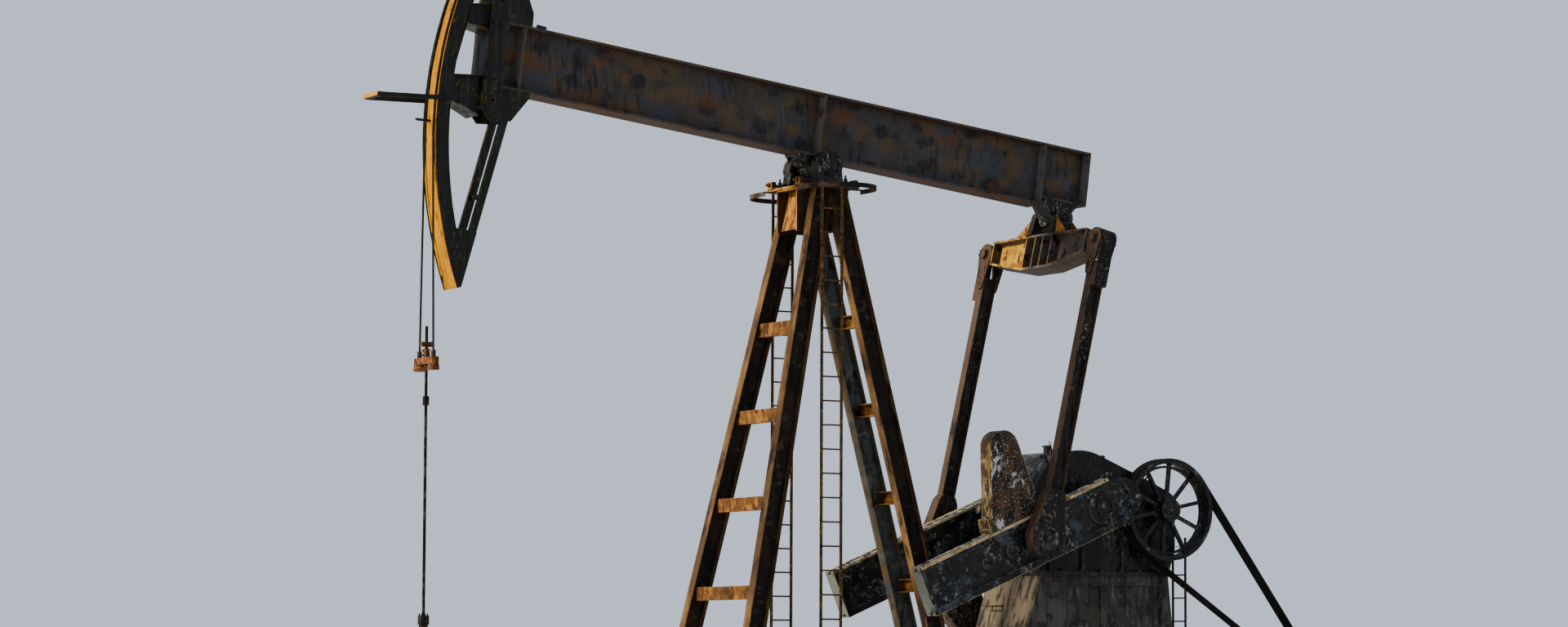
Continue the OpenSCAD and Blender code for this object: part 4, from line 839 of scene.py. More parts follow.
def wire_rope(length):
    """A laid rope of six strands that stands on its place."""
    strand = ROPE_D / 6
    sections = []
    for place in ring_of(6, ROPE_D / 2 - strand):
        only(floor)
        bpy.ops.mesh.primitive_circle_add(radius=strand * 1.05, vertices=8)
        sections.append(settle(bpy.context.object, place))
    rope = only(join(sections))
    lay = rope.modifiers.new("lay", "SCREW")
    turns = length / (6.5 * ROPE_D)
    lay.angle = 2 * math.pi * turns
    lay.screw_offset = length
    lay.steps = int(turns * 14)
    lay.render_steps = lay.steps
    bpy.ops.object.modifier_apply(modifier="lay")
    bpy.ops.object.mode_set(mode="EDIT")
    bpy.ops.mesh.select_mode(type="VERT")
    bpy.ops.mesh.select_all(action="DESELECT")
    bpy.ops.mesh.select_non_manifold()
    bpy.ops.mesh.fill()
    bpy.ops.mesh.select_all(action="SELECT")
    bpy.ops.mesh.normals_make_consistent(inside=False)
    only(rope)
    bpy.ops.object.shade_smooth_by_angle(angle=math.radians(50))
    return rope


drops = []
for side in SIDES:
    low = Vector((ROD_X, side * CARRIER_GAP / 2, CARRIER_Z))
    high = Vector((ROD_X, side * ROPE_GAP / 2, SADDLE_Z))
    run = high - low
    drops.append(settle(wire_rope(run.length - 0.001), at(*low, run)))
keep(join(drops), "bridle_ropes_hanging", "hanger", greased_rope)
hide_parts("bridle_drop")

# Where the circle starts doesn't matter: the middle of the bent rope is measured, and the rope is
# turned until that middle lies half-way between its two ends on the face.
WRAP_TOP = 26                         # degrees above the beam's axis
WRAP_LOW = -7                         # level with the saddle, as the beam leans by 7
wrap_length = math.radians(WRAP_TOP - WRAP_LOW) * ROPE_R
only(floor)
bpy.ops.curve.primitive_bezier_circle_add(radius=ROPE_R)
circle = bpy.context.object
circle.data.resolution_u = 64
circle.data.twist_mode = "Z_UP"
wrap = wire_rope(wrap_length)
follow = wrap.modifiers.new("follow", "CURVE")
follow.object = circle
follow.deform_axis = "POS_Z"
only(wrap)
bpy.ops.object.modifier_apply(modifier="follow")
bpy.data.objects.remove(circle)
settle(wrap, Matrix.Rotation(math.radians(90), 4, "X"))
middle = sum((vertex.co for vertex in wrap.data.vertices), Vector()) / len(wrap.data.vertices)
heading = math.degrees(math.atan2(middle.z, -middle.x))
print("rope on the face heads", round(heading, 2), "degrees above -X before it is turned")
centred = Matrix.Rotation(math.radians((WRAP_TOP + WRAP_LOW) / 2 - heading), 4, "Y")
wraps = copies(wrap, [BEAM @ Matrix.Translation((0, side * ROPE_GAP / 2, 0)) @ centred for side in SIDES])
keep(wraps, "bridle_ropes_on_face", "beam", greased_rope)
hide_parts("bridle_wrap")

# %% [markdown]
# The ropes end in poured sockets. Above, each socket sits under the bolted anchor block. Low on the
# face a strap on two posts keeps the ropes from jumping, and each rope enters the carrier bar
# through a ferrule.

# %% Rope sockets, keeper strap and ferrules


def on_face(degrees, y, radius):
    """A place on the face of the head: angle above the beam's axis, and Z along the rope."""
    a = math.radians(degrees)
    return BEAM @ at(-radius * math.cos(a), y, radius * math.sin(a), (math.sin(a), 0, math.cos(a)))


def socket():
    """A cone-shaped rope socket with a collar, 150 mm long, open end down."""
    only(floor)
    bpy.ops.mesh.primitive_cone_add(radius1=0.020, radius2=0.034, depth=0.120, vertices=24,
                                    location=(0, 0, 0.060))
    body = soften(settle(bpy.context.object, Matrix()), 0.004, 2)
    return smooth(join([body, soften(rod(0.037, 0.022, 24, (0, 0, 0.115)), 0.004, 2)]))


sockets = copies(socket(), [on_face(24.4, side * ROPE_GAP / 2, ROPE_R) for side in SIDES])
ANCHOR_DEGREES = 26.42
STRAP_DEGREES = -4.5
tails = copies(nut_and_stud(0.022, 0.2), [on_face(ANCHOR_DEGREES, y, HEAD_R + 0.059)
                                          @ at(0, 0, 0, (-1, 0, 0))
                                          for y in (-0.118, -0.040, 0.040, 0.118)])
strap = settle(soften(bar((0.008, 0.340, 0.034), (0, 0, 0)), 0.003),
               on_face(STRAP_DEGREES, 0, HEAD_R + 0.034))
posts = copies(soften(rod(0.012, 0.036, 12), 0.002), [on_face(STRAP_DEGREES, side * 0.157, HEAD_R - 0.002)
                                                      @ at(0, 0, 0, (-1, 0, 0)) for side in SIDES])
keep(join([sockets, tails, strap, posts]), "rope_sockets_and_strap", "beam", greasy_iron)

ferrules = copies(smooth(soften(rod(0.030, 0.090, 24), 0.006, 2)),
                  [at(ROD_X, side * CARRIER_GAP / 2, CARRIER_Z + 0.055) for side in SIDES])
clamp_nuts = copies(nut_and_stud(0.030, 0.5),
                    [at(ROD_X + x, side * 0.030, CARRIER_Z + 0.220, (0, side, 0))
                     for x in (-0.045, 0.045) for side in SIDES])
set_screws = copies(nut_and_stud(0.022, 0.2), [at(ROD_X - 0.040, 0, CARRIER_Z + z, (-1, 0, 0))
                                               for z in (0.085, 0.140)])
keep(join([ferrules, clamp_nuts, set_screws]), "rod_clamp_screws", "hanger", greasy_iron)

# %% [markdown]
# Ten V-belts lie side by side on the large sheave. One belt is made as a person would wrap it: two
# discs of the pulleys' size are joined and their convex hull taken, which gives the loop's outline
# with its straight runs. The flat ends are removed, the remaining band gets its thickness inwards,
# and its corners are rounded.

# %% V-belts
SHEAVE = Vector((4.940, 0, 3.200))
MOTOR = Vector((7.100, 0, 1.190))
SHEAVE_R = 0.664
PULLEY_R = 0.150
BELT_BACK = 0.012                     # the belt's back above the pulley's rim
BELT_DEEP = 0.014
BELT_W = 0.0172
BELT_IN = 0.690                       # both pulleys lie between these distances from the middle
BELT_OUT = 0.905


def belt():
    """One closed belt in the plane y = 0."""
    discs = []
    for place, radius in ((SHEAVE, SHEAVE_R), (MOTOR, PULLEY_R)):
        only(floor)
        bpy.ops.mesh.primitive_cylinder_add(radius=radius + BELT_BACK, depth=BELT_W, vertices=96,
                                            end_fill_type="NGON", rotation=(math.pi / 2, 0, 0))
        discs.append(settle(bpy.context.object, Matrix.Translation(place)))
    loop = join(discs)
    pick(loop, "verts", lambda spot: True)
    bpy.ops.mesh.convex_hull(use_existing_faces=False)
    bpy.ops.mesh.dissolve_limited(angle_limit=0.005)
    only(loop)
    pick(loop, "faces", lambda centre, normal: abs(normal.y) > 0.9)
    bpy.ops.mesh.delete(type="FACE")
    only(loop)
    wall = loop.modifiers.new("wall", "SOLIDIFY")
    wall.thickness = BELT_DEEP
    wall.offset = -1
    wall.use_even_offset = True
    bpy.ops.object.modifier_apply(modifier="wall")
    soften(loop, 0.0025, 1, 50)
    return smooth(loop, 30)


groove_y = [0.700 + 0.020 * i for i in range(10)]
belts = copies(belt(), [Matrix.Translation((0, -y, 0)) for y in groove_y])
keep(belts, "drive_v_belts", "frame", belt_rubber)
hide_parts("drive_belts")

# %% [markdown]
# The motor pulley is a grooved casting. Discs with turned-down rims, threaded on a core, give the
# grooves without cutting them.

# %% Motor pulley
land_y = [BELT_IN] + [y + 0.010 for y in groove_y]
lands = copies(soften(rod(PULLEY_R - 0.0005, 0.0130, 56), 0.0042, 1),
               [at(MOTOR.x, 0.0035 - y, MOTOR.z, (0, -1, 0)) for y in land_y])
core = settle(rod(PULLEY_R - 0.012, 0.215, 56), at(MOTOR.x, -BELT_IN, MOTOR.z, (0, -1, 0)))
boss = settle(soften(rod(0.062, 0.030, 32), 0.004, 2), at(MOTOR.x, -0.903, MOTOR.z, (0, -1, 0)))
boss_screws = copies(nut_and_stud(0.016, 0.1), [at(MOTOR.x, -BELT_OUT, MOTOR.z, (0, -1, 0)) @ spot
                                                for spot in ring_of(3, 0.090)])
keep(smooth(join([lands, core, boss, boss_screws])), "motor_grooved_pulley", "frame",
     sheave_iron)
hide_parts("motor_pulley")

# %% [markdown]
# The big sheave is a spoked casting on a taper bush. The bush shows a ring of cap screws, the end
# of the shaft and its key, all low enough to clear the weight that swings past. Each spoke grows
# out of the hub in a thickened root.

# %% Sheave hub
SPOKES = 10
FIRST_SPOKE = 12                      # degrees
hub_face = at(SHEAVE.x, -BELT_OUT, SHEAVE.z, (0, -1, 0))
bush = settle(smooth(soften(rod(0.098, 0.007, 40), 0.002, 2)), hub_face)
hub_screws = copies(smooth(soften(rod(0.014, 0.010, 20), 0.002)),
                    [hub_face @ spot for spot in ring_of(8, 0.122, 0.3)])
shaft_end = settle(smooth(soften(rod(0.056, 0.012, 32), 0.003, 2)), hub_face)
key = settle(bar((0.020, 0.020, 0.010), (0.062, 0, 0.005)), hub_face)
root = soften(rod(0.040, 0.060, 8), 0.012, 2)
spoke_turns = [Matrix.Rotation(math.radians(FIRST_SPOKE + 360 / SPOKES * i), 4, "Z")
               for i in range(SPOKES)]
roots = copies(root, [at(SHEAVE.x, -0.775, SHEAVE.z, (0, 1, 0)) @ turn
                      @ Matrix.Translation((0.165, 0, -0.020)) @ Matrix.Scale(0.9, 4, (0, 1, 0))
                      for turn in spoke_turns])
keep(smooth(join([bush, hub_screws, shaft_end, key])), "sheave_hub_bush", "sheave",
     sheave_iron)
keep(smooth(roots), "sheave_spoke_roots", "sheave", sheave_iron)

# %% [markdown]
# A band brake holds the machine still during work on the well. Its steel band runs round the drum,
# pulled together by a screw in two lugs, and a lever reaches down to the base.

# %% Brake band and lever
DRUM = at(SHEAVE.x, 0.735, SHEAVE.z, (0, 1, 0))


def open_ring(inner, outer, width, sides=64):
    """A flat ring with square edges, made as a tube by insetting the ends of a cylinder."""
    tube = rod(outer, width, sides)
    pick(tube, "faces", lambda centre, normal: abs(normal.z) > 0.9)
    bpy.ops.mesh.inset(thickness=outer - inner, use_individual=True)
    bpy.ops.mesh.delete(type="FACE")
    bpy.ops.mesh.select_mode(type="VERT")
    bpy.ops.mesh.select_all(action="DESELECT")
    bpy.ops.mesh.select_non_manifold()
    bpy.ops.mesh.bridge_edge_loops()
    bpy.ops.mesh.select_all(action="SELECT")
    bpy.ops.mesh.normals_make_consistent(inside=False)
    return only(tube)


band = open_ring(0.207, 0.216, 0.075)
lugs = [soften(bar((0.014, 0.060, 0.055), (side * 0.024, 0.245, 0.0375)), 0.003) for side in SIDES]
pull = settle(rod(0.010, 0.150, 12), at(-0.075, 0.250, 0.0375, (1, 0, 0)))
nuts = [settle(nut_and_stud(0.024, 0.1), at(side * 0.031, 0.250, 0.0375, (side, 0, 0)))
        for side in SIDES]
brake = settle(join([band] + lugs + [pull] + nuts), DRUM @ Matrix.Rotation(math.radians(140), 4, "Z"))
LEVER_X = SHEAVE.x + 0.300
LEVER_Y = 0.800
lever = soften(bar((0.040, 0.014, 2.300), (LEVER_X, LEVER_Y, 1.900)), 0.003)
lever_pin = settle(rod(0.016, 0.200, 16), at(LEVER_X, 0.660, 2.355, (0, 1, 0)))
lever_arm = soften(bar((0.300, 0.014, 0.040), (LEVER_X - 0.060, LEVER_Y, 3.000)), 0.003)
foot = soften(bar((0.120, 0.120, 0.016), (LEVER_X, LEVER_Y, 0.358)), 0.003)
keep(join([brake, lever, lever_pin, lever_arm, foot]), "brake_band_and_lever", "frame",
     brace_rust)

# %% [markdown]
# The crank edges carry a rack, so that a tool can walk the weights along them. One tooth is a bar
# with its top edges turned down, and a loop sets it along each stretch that no weight covers.

# %% Crank racks
CRANK_HALF = 0.320                    # half the depth of a crank
CRANK_OUT = 1.165
TOOTH_PITCH = 0.042
tooth = bar((0.022, 0.034, 0.011), (0, 0, 0.0045))
pick(tooth, "faces", lambda centre, normal: normal.z > 0.9)
bpy.ops.transform.resize(value=(0.5, 0.9, 1))
only(tooth)
rack_places = []
for side in SIDES:
    for edge in SIDES:
        covered = (side == CAMERA_SIDE) == (edge == 1)
        stretches = ((-2.89, -1.80), (-0.80, 0.16)) if covered else ((-2.89, 0.16),)
        for start, end in stretches:
            count = int((end - start) / TOOTH_PITCH)
            face = Matrix.Translation((0, side * (CRANK_OUT - 0.022), edge * CRANK_HALF))
            turned = Matrix.Rotation(0 if edge > 0 else math.pi, 4, "X")
            rack_places += [CRANK @ face @ Matrix.Translation((start + TOOTH_PITCH * i, 0, 0)) @ turned
                            for i in range(count)]
rack = [copies(tooth, rack_places)]
for side in SIDES:
    covered = side == CAMERA_SIDE
    for start, end in ((-2.915, -1.77), (-0.84, 0.195)) if covered else ((-2.915, 0.195),):
        strip = soften(bar((end - start, 0.046, 0.006), ((start + end) / 2, 0, 0.002)), 0.002)
        rack.append(settle(strip, CRANK @ Matrix.Translation((0, side * (CRANK_OUT - 0.024), CRANK_HALF))))
# A rubbed lip runs along the upper edge of each crank, on the face away from the gearbox for the
# near crank and towards it for the far one.
for start, end, y in ((-2.90, 0.19, -1.1665), (-2.90, 0.19, 0.9535)):
    lip = soften(bar((end - start, 0.004, 0.030), ((start + end) / 2, 0, 0)), 0.0015)
    rack.append(settle(lip, CRANK @ Matrix.Translation((0, y, CRANK_HALF - 0.017))))
keep(join(rack), "crank_rack_teeth", "cranks", rubbed_edge)

# %% [markdown]
# Round covers close the shaft ends and the wrist bearings. They are turned parts: a disc, a
# sunken ring round a raised middle, and a ring of screws. One helper makes them in any size.

# %% Bolted round covers


def cover_plate(radius, thick, screws, screw_size, dish=0.006):
    """A turned cover: a sunken ring round a raised middle, and a ring of screws."""
    plate = soften(rod(radius, thick, 48), thick * 0.25, 2)
    pick(plate, "faces", lambda centre, normal: normal.z > 0.9 and centre.z > thick * 0.9)
    bpy.ops.mesh.inset(thickness=radius * 0.28)
    bpy.ops.mesh.extrude_region_move(TRANSFORM_OT_translate={"value": (0, 0, -dish)})
    bpy.ops.mesh.inset(thickness=radius * 0.30)
    bpy.ops.mesh.extrude_region_move(TRANSFORM_OT_translate={"value": (0, 0, dish * 1.4)})
    smooth(only(plate))
    ring = copies(nut_and_stud(screw_size, 0.15), [Matrix.Translation((0, 0, thick * 0.96)) @ spot
                                                   for spot in ring_of(screws, radius * 0.84, 0.3)])
    return join([plate, ring])


hub_covers = [settle(cover_plate(0.128, 0.018, 8, 0.026), CRANK @ at(0, side * 1.178, 0, (0, side, 0)))
              for side in SIDES]
hub_nuts = copies(nut_and_stud(0.038, 0.3),
                  [CRANK @ at(x, side * y, edge * (CRANK_HALF + 0.001), (0, 0, edge))
                   for side in SIDES for edge in SIDES for x in (0.235, 0.305) for y in (1.010, 1.110)])
keep(join(hub_covers + [hub_nuts]), "crank_hub_covers", "cranks", crank_paint)

wrist_covers = [settle(cover_plate(0.147, 0.016, 10, 0.026), PITMAN @ at(0, side * 1.364, 0, (0, side, 0)))
                for side in SIDES]
wrist_nuts = [settle(nut_and_stud(0.050, 0.2), PITMAN @ at(0, side * 1.379, 0, (0, side, 0)))
              for side in SIDES]
keep(join(wrist_covers + wrist_nuts), "wrist_bearing_covers", "equalizer", crank_paint)

pin_covers = [settle(cover_plate(0.070, 0.012, 6, 0.017, 0.004), PITMAN
                     @ at(0.166 * end, side * 1.293, PITMAN_TOP, (end, 0, 0)))
              for side in SIDES for end in SIDES]
pin_rings = [settle(smooth(open_ring(0.086, 0.094, 0.007, 40)), PITMAN
                    @ at(0.127 * end, side * 1.293, PITMAN_TOP, (end, 0, 0)))
             for side in SIDES for end in SIDES]
keep(join(pin_covers + pin_rings), "upper_pin_covers", "equalizer", pitman_rust)

# %% [markdown]
# T-bolts clamp each weight through slots in the crank edge, with square plate washers.

# %% Weight clamp bolts
weight_places = []
for side in SIDES:
    up = 1 if side == CAMERA_SIDE else -1
    weight_places += [CRANK @ at(x, side * 1.060, up * (CRANK_HALF + z), (0, 0, up))
                      for x, z in ((-0.900, 0.060), (-1.700, 0.060))]
big_washer = soften(bar((0.120, 0.120, 0.014), (0, 0, 0.007)), 0.003)
clamp = join([settle(nut_and_stud(0.076, 0.8), at(0, 0, 0.012)), big_washer])
keep(copies(clamp, weight_places), "weight_clamp_bolts", "cranks", weight_paint)

# %% [markdown]
# Where the beam is held, bolts clamp it to the saddle and to the tail bearing through its lower
# flange. The tail pin shows a dished cap on each side, inside a ring with screws of its own.

# %% Saddle and tail clamp bolts
saddle_bolts = [BEAM @ at(x, side * 0.125, 0.160) for side in SIDES for x in (-0.29, -0.19, 0.19, 0.29)]
saddle_heads = [BEAM @ at(x, side * 0.125, 0.100, (0, 0, -1)) for side in SIDES for x in (-0.29, 0.29)]
tail_bolts = [BEAM @ at(TAIL_X + x, side * 0.125, 0.260) for side in SIDES for x in (-0.21, 0.21)]
clamps = copies(nut_and_stud(0.046, 0.7), saddle_bolts + saddle_heads + tail_bolts)
tail_caps = [settle(cover_plate(0.058, 0.012, 6, 0.014, 0.003),
                    BEAM @ at(TAIL_X, side * 0.311, 0, (0, side, 0)))
             for side in SIDES]
keep(join([clamps] + tail_caps), "beam_clamp_bolts", "beam", bearing_grease)

tail_rings = [settle(smooth(open_ring(0.068, 0.118, 0.010, 48)),
                     BEAM @ at(TAIL_X, side * 0.303, 0, (0, side, 0)))
              for side in SIDES]
ring_screws = copies(nut_and_stud(0.018, 0.2), [BEAM @ at(TAIL_X, side * 0.312, 0, (0, side, 0)) @ spot
                                                for side in SIDES for spot in ring_of(10, 0.100)])
keep(join(tail_rings + [ring_screws]), "tail_bearing_rings", "equalizer", crank_paint)

# %% [markdown]
# The hanger on the equalizer is stiffened by three-cornered gussets, which catch the light. Each
# is a bar whose upper outer edge is drawn in to the hanger.

# %% Hanger gussets
EQUALIZER_TOP = PITMAN_TOP + 0.158
gusset = bar((0.016, 0.300, 0.205), (0, 0.150, 0.1025))
pick(gusset, "verts", lambda spot: spot.z > 0.1 and spot.y > 0.1)
bpy.ops.transform.translate(value=(0, -0.262, 0))
gusset = soften(only(gusset), 0.003)
gusset_places = [PITMAN @ Matrix.Translation((x, side * 0.300, EQUALIZER_TOP))
                 @ Matrix.Rotation(0 if side > 0 else math.pi, 4, "Z")
                 for side in SIDES for x in (-0.118, 0.118)]
keep(copies(gusset, gusset_places), "hanger_gussets", "equalizer", deck_rust)

# %% [markdown]
# A built-up beam shows its welds. A fillet weld is a thin bead with a rippled back. Here it is a
# six-sided bar that is cut across every 90 mm, with every second cut drawn in a little.

# %% Weld beads on the beam and the head


def weld(start, end, leg=0.012):
    """A rippled bead from start to end."""
    start, end = Vector(start), Vector(end)
    length = (end - start).length
    bead = rod(leg, length, 6)
    cuts = max(2, int(length / 0.09))
    for i in range(1, cuts):
        pick(bead, "faces", lambda centre, normal: True)
        bpy.ops.mesh.bisect(plane_co=(0, 0, length * i / cuts), plane_no=(0, 0, 1))
        if i % 2:
            bpy.ops.transform.resize(value=(0.82, 0.82, 1))
        only(bead)
    smooth(bead, 60)
    return settle(bead, at(*start, end - start))


stiffener_welds = []
for x in (-4.340, -0.010):
    for side in SIDES:
        stiffener_welds += [weld((x + edge, side * 0.014, 0.165), (x + edge, side * 0.014, 0.925))
                            for edge in (0, 0.020)]
        stiffener_welds.append(weld((x + 0.010, side * 0.020, 0.164), (x + 0.010, side * 0.168, 0.164),
                                    0.014))
post_welds = [weld((-4.690, side * 0.178, 0.135), (-4.690, side * 0.178, 0.955), 0.010)
              for side in SIDES]
step_weld = weld((3.392, -0.165, 0.135), (3.392, 0.165, 0.135), 0.010)
keep(settle(join(stiffener_welds + post_welds + [step_weld]), BEAM), "beam_weld_beads", "beam",
     beam_paint)

STRAP_BOLTS = ((-4.80, 1.20), (-4.70, 1.20), (-4.80, 0.90), (-4.70, 0.90),
               (-4.80, 0.20), (-4.70, 0.20), (-4.79, -0.05), (-4.67, -0.05))
strap_places = [BEAM @ at(x, side * 0.205, z, (0, side, 0)) for side in SIDES for x, z in STRAP_BOLTS]
keep(copies(nut_and_stud(0.030, 0.2), strap_places), "head_strap_bolts", "beam",
     oily_head)

# %% [markdown]
# The gearbox has the fittings that its oil needs: a bolted hatch with a lifting eye, a dipstick, a
# sight glass, four more eyes and a drain plug. Covers ring the fast shaft on both sides, screws
# ring the slow one, and a bolted plate closes each flank.

# %% Gearbox fittings


def eye(radius, thick):
    """A lifting eye: a ring that stands on a short shank."""
    only(floor)
    bpy.ops.mesh.primitive_torus_add(major_radius=radius, minor_radius=thick, major_segments=32,
                                     minor_segments=12, rotation=(math.pi / 2, 0, 0),
                                     location=(0, 0, radius + thick * 2.2))
    ring = settle(bpy.context.object, Matrix())
    return smooth(join([ring, soften(rod(thick * 1.7, thick * 2, 20), thick * 0.3, 2)]), 60)


hatch_slope = (0.325, 0, 0.946)
hatch_place = at(4.420, 0, 3.7515, hatch_slope)
hatch = settle(soften(bar((0.360, 0.460, 0.016), (0, 0, 0.008)), 0.004), hatch_place)
hatch_screws = copies(nut_and_stud(0.024, 0.2), [hatch_place @ Matrix.Translation((x, y, 0.015))
                                                 for x in (-0.155, 0, 0.155)
                                                 for y in (-0.205, -0.07, 0.07, 0.205)
                                                 if x or abs(y) > 0.1])
handle = settle(eye(0.040, 0.009), hatch_place @ Matrix.Translation((0, 0, 0.012)))
eyes = copies(eye(0.045, 0.014), [at(4.800, side * 0.520, 3.540, (0.40, 0, 0.917)) for side in SIDES]
              + [at(3.240, side * 0.520, 3.792, (-0.62, 0, 0.785)) for side in SIDES])
dipstick = join([settle(rod(0.014, 0.160, 12), at(3.420, -0.400, 3.870, (-0.3, 0, 0.95))),
                 settle(eye(0.022, 0.005), at(3.375, -0.400, 4.015, (-0.3, 0, 0.95)))])
glass = settle(cover_plate(0.070, 0.014, 6, 0.014, 0.003), at(4.250, -0.618, 2.900, (0, -1, 0)))
drain = settle(nut_and_stud(0.060, 0.1), at(5.198, -0.300, 2.760, (1, 0, 0)))
fast_covers = [settle(smooth(open_ring(0.066, 0.126, 0.012, 48)),
                      at(SHEAVE.x, side * 0.679, SHEAVE.z, (0, side, 0)))
               for side in SIDES]
slow_screws = copies(nut_and_stud(0.034, 0.3),
                     [at(SLOW_SHAFT.x, side * 0.729, SLOW_SHAFT.z, (0, side, 0)) @ spot
                      for side in SIDES for spot in ring_of(10, 0.215, 0.2)])
plate_screws = copies(nut_and_stud(0.026, 0.2), [at(x, side * 0.618, z, (0, side, 0)) for side in SIDES
                                                 for x in (4.40, 4.58, 4.76) for z in (2.62, 2.98)])
plates = [soften(bar((0.46, 0.012, 0.46), (4.58, side * 0.616, 2.80)), 0.003) for side in SIDES]
gear_fittings = [hatch, hatch_screws, handle, eyes, dipstick, glass, drain, slow_screws, plate_screws]
keep(join(gear_fittings + fast_covers + plates), "gearbox_fittings", "frame",
     greasy_iron)

# %% [markdown]
# The motor is a common enclosed one. It gets a fan cowl with a slatted grille, a lid with screws
# for its terminal box, a steel conduit, a lifting eye, and feet clamped on slides whose screws
# stretch the belts.

# %% Motor fittings
cowl = settle(smooth(soften(rod(0.205, 0.060, 56), 0.018, 3)), at(MOTOR.x, 0.385, MOTOR.z, (0, 1, 0)))
slat_places = []
for z in (-0.15, -0.12, -0.09, -0.06, -0.03, 0, 0.03, 0.06, 0.09, 0.12, 0.15):
    width = math.sqrt(1 - (z / 0.19) ** 2)      # slats grow shorter towards the rim
    slat_places.append(at(MOTOR.x, 0.447, MOTOR.z + z, (0, 1, 0)) @ Matrix.Scale(width, 4, (1, 0, 0)))
slats = copies(soften(bar((0.300, 0.010, 0.008), (0, 0, 0)), 0.002), slat_places)
lid = soften(bar((0.276, 0.236, 0.016), (MOTOR.x, -0.040, 1.556)), 0.006, 2)
lid_screws = copies(nut_and_stud(0.016, 0.1), [at(MOTOR.x + x, -0.040 + y, 1.563) for x in (-0.12, 0.12)
                                               for y in (-0.10, 0.10)])
lug = settle(eye(0.036, 0.012), at(MOTOR.x, 0.180, 1.452))
flange_screws = copies(nut_and_stud(0.022, 0.2), [at(MOTOR.x, y, MOTOR.z, (0, way, 0)) @ spot
                                                  for y, way in ((-0.559, -1), (0.329, 1))
                                                  for spot in ring_of(8, 0.240, 0.2)])
conduit = join([rod(0.021, 0.80, 20, (MOTOR.x + 0.225, -0.040, 0.700)),
                rod(0.030, 0.050, 20, (MOTOR.x + 0.225, -0.040, 1.390)),
                settle(rod(0.021, 0.100, 20), at(MOTOR.x + 0.130, -0.040, 1.470, (1, 0, 0))),
                soften(bar((0.070, 0.064, 0.070), (MOTOR.x + 0.225, -0.040, 1.470)), 0.012, 3)])
STAND_TOP = 0.860
FOOT_Y = (-0.500, 0.360)
SLIDE_Y = (-0.560, 0.360)
feet = copies(nut_and_stud(0.034, 0.6),
              [at(MOTOR.x + x, y, STAND_TOP + 0.148) for x in (-0.315, 0.315) for y in FOOT_Y])
tabs = copies(soften(bar((0.070, 0.120, 0.148), (0, 0, 0.074)), 0.006),
              [Matrix.Translation((MOTOR.x + x, y, STAND_TOP)) for x in (-0.325, 0.325) for y in FOOT_Y])
keep(join([cowl, slats, lid, lid_screws, lug, flange_screws, conduit]), "motor_fittings", "frame",
     motor_enamel)
keep(join([feet, tabs]), "motor_foot_clamps", "frame", greasy_iron)

slide_screws = copies(rod(0.014, 0.420, 16),
                      [at(MOTOR.x + 0.140, y, STAND_TOP + 0.040, (1, 0, 0)) for y in SLIDE_Y])
slide_nuts = copies(nut_and_stud(0.036, 0.1),
                    [at(MOTOR.x + 0.460, y, STAND_TOP + 0.040, (1, 0, 0)) for y in SLIDE_Y])
slide_blocks = copies(soften(bar((0.040, 0.080, 0.090), (0, 0, 0.040)), 0.004),
                      [Matrix.Translation((MOTOR.x + 0.440, y, STAND_TOP)) for y in SLIDE_Y])
keep(join([slide_screws, slide_nuts, slide_blocks]), "motor_slide_screws", "frame",
     base_steel)

# %% [markdown]
# The wellhead is cast and forged pieces bolted together: studs through each pair of flanges, side
# valves with handwheels, a pressure gauge, and gland bolts round the stuffing box.

# %% Wellhead studs, valves and gauge


def handwheel(radius):
    """A hand wheel with a round rim, four arms and a hub, on z = 0."""
    only(floor)
    bpy.ops.mesh.primitive_torus_add(major_radius=radius, minor_radius=radius * 0.11, major_segments=40,
                                     minor_segments=10)
    rim = settle(bpy.context.object, Matrix())
    arm = soften(bar((radius * 0.9, radius * 0.16, radius * 0.10), (radius * 0.5, 0, 0)), radius * 0.02)
    arms = copies(arm, [Matrix.Rotation(math.pi / 2 * i, 4, "Z") for i in range(4)])
    hub = soften(rod(radius * 0.24, radius * 0.36, 20, (0, 0, -radius * 0.18)), radius * 0.03)
    return smooth(join([rim, arms, hub]), 50)


VALVE_Z = 1.040
WHEEL_Y = 0.340
flange_nuts = copies(nut_and_stud(0.034, 0.6), [at(ROD_X, 0, z, (0, 0, way)) @ spot
                                                for z, way in ((0.656, 1), (0.560, -1), (0.904, 1))
                                                for spot in ring_of(8, 0.150, 0.39)])
valve_bodies = [settle(smooth(soften(rod(0.070, 0.150, 28), 0.012, 2)),
                       at(ROD_X, side * 0.268, VALVE_Z, (0, side, 0)))
                for side in SIDES]
valve_rims = copies(nut_and_stud(0.020, 0.3), [at(ROD_X, side * 0.269, VALVE_Z, (0, side, 0)) @ spot
                                               for side in SIDES for spot in ring_of(8, 0.088)])
valve_caps = [settle(smooth(soften(rod(0.100, 0.030, 32), 0.006, 2)),
                     at(ROD_X, side * 0.410, VALVE_Z, (0, side, 0)))
              for side in SIDES]
stems = [settle(rod(0.014, 0.170, 16), at(ROD_X, side * WHEEL_Y, 1.100)) for side in SIDES]
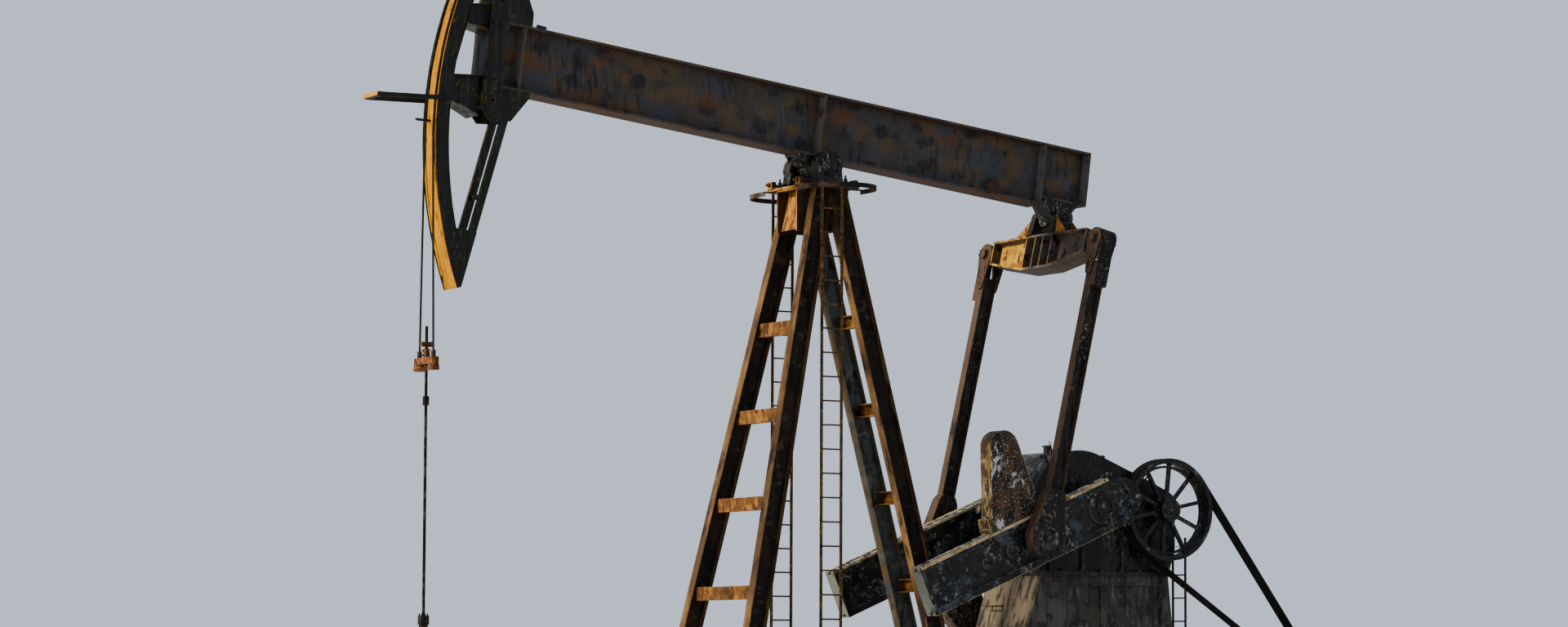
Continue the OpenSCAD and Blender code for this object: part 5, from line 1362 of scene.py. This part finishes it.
bonnets = [settle(smooth(soften(rod(0.040, 0.070, 24), 0.008, 2)), at(ROD_X, side * WHEEL_Y, 1.095))
           for side in SIDES]
wheels = [settle(handwheel(0.095), at(ROD_X, side * WHEEL_Y, 1.268)) for side in SIDES]
gland = copies(nut_and_stud(0.020, 0.8), [at(ROD_X, 0, 1.714) @ spot for spot in ring_of(4, 0.050, 0.785)])
gauge = join([settle(rod(0.008, 0.110, 12), at(ROD_X - 0.070, 0, 1.320, (-1, 0, 0))),
              settle(smooth(soften(rod(0.050, 0.028, 36), 0.006, 2)),
                 at(ROD_X - 0.180, 0, 1.345, (-1, 0, 0))),
              settle(smooth(open_ring(0.044, 0.052, 0.008, 36)), at(ROD_X - 0.205, 0, 1.345, (-1, 0, 0)))])
keep(join([flange_nuts, valve_rims, gland, gauge] + valve_bodies + valve_caps + stems + bonnets + wheels),
     "wellhead_valves", "frame", well_paint)

# %% [markdown]
# The legs stand on foot plates, with nuts on the anchor studs and small tapered gussets beside
# them. Bolts run up the rails of the ladders.

# %% Leg feet and ladder bolts
LEG_FEET = ((-1.560, -0.925), (-1.560, 0.925), (1.966, -0.335), (1.966, 0.335))
foot_nuts = [at(x + s * 0.165, y + t * 0.105, 0.375) for x, y in LEG_FEET for s in SIDES for t in SIDES]
keep(copies(nut_and_stud(0.046, 0.6), foot_nuts), "leg_foot_nuts", "frame",
     rusted_leg)
toe = bar((0.012, 0.090, 0.120), (0, 0, 0.060))
pick(toe, "verts", lambda spot: spot.z > 0.1)
bpy.ops.transform.resize(value=(1, 0.35, 1))
only(toe)
toe_places = [Matrix.Translation((x + s * 0.100, y + t * 0.110, 0.372))
              for x, y in LEG_FEET for s in SIDES for t in SIDES]
keep(copies(soften(toe, 0.002), toe_places), "leg_foot_gussets", "frame",
     rusted_leg)

ladder_bolts = [at(-0.078 + t * 0.145, side * 0.627, z, (0, side, 0)) for side in SIDES for t in SIDES
                for z in (0.45, 2.00, 3.60, 5.20, 6.90)]
keep(copies(nut_and_stud(0.018, 0.4), ladder_bolts), "ladder_bolts", "frame", ladder_rust)
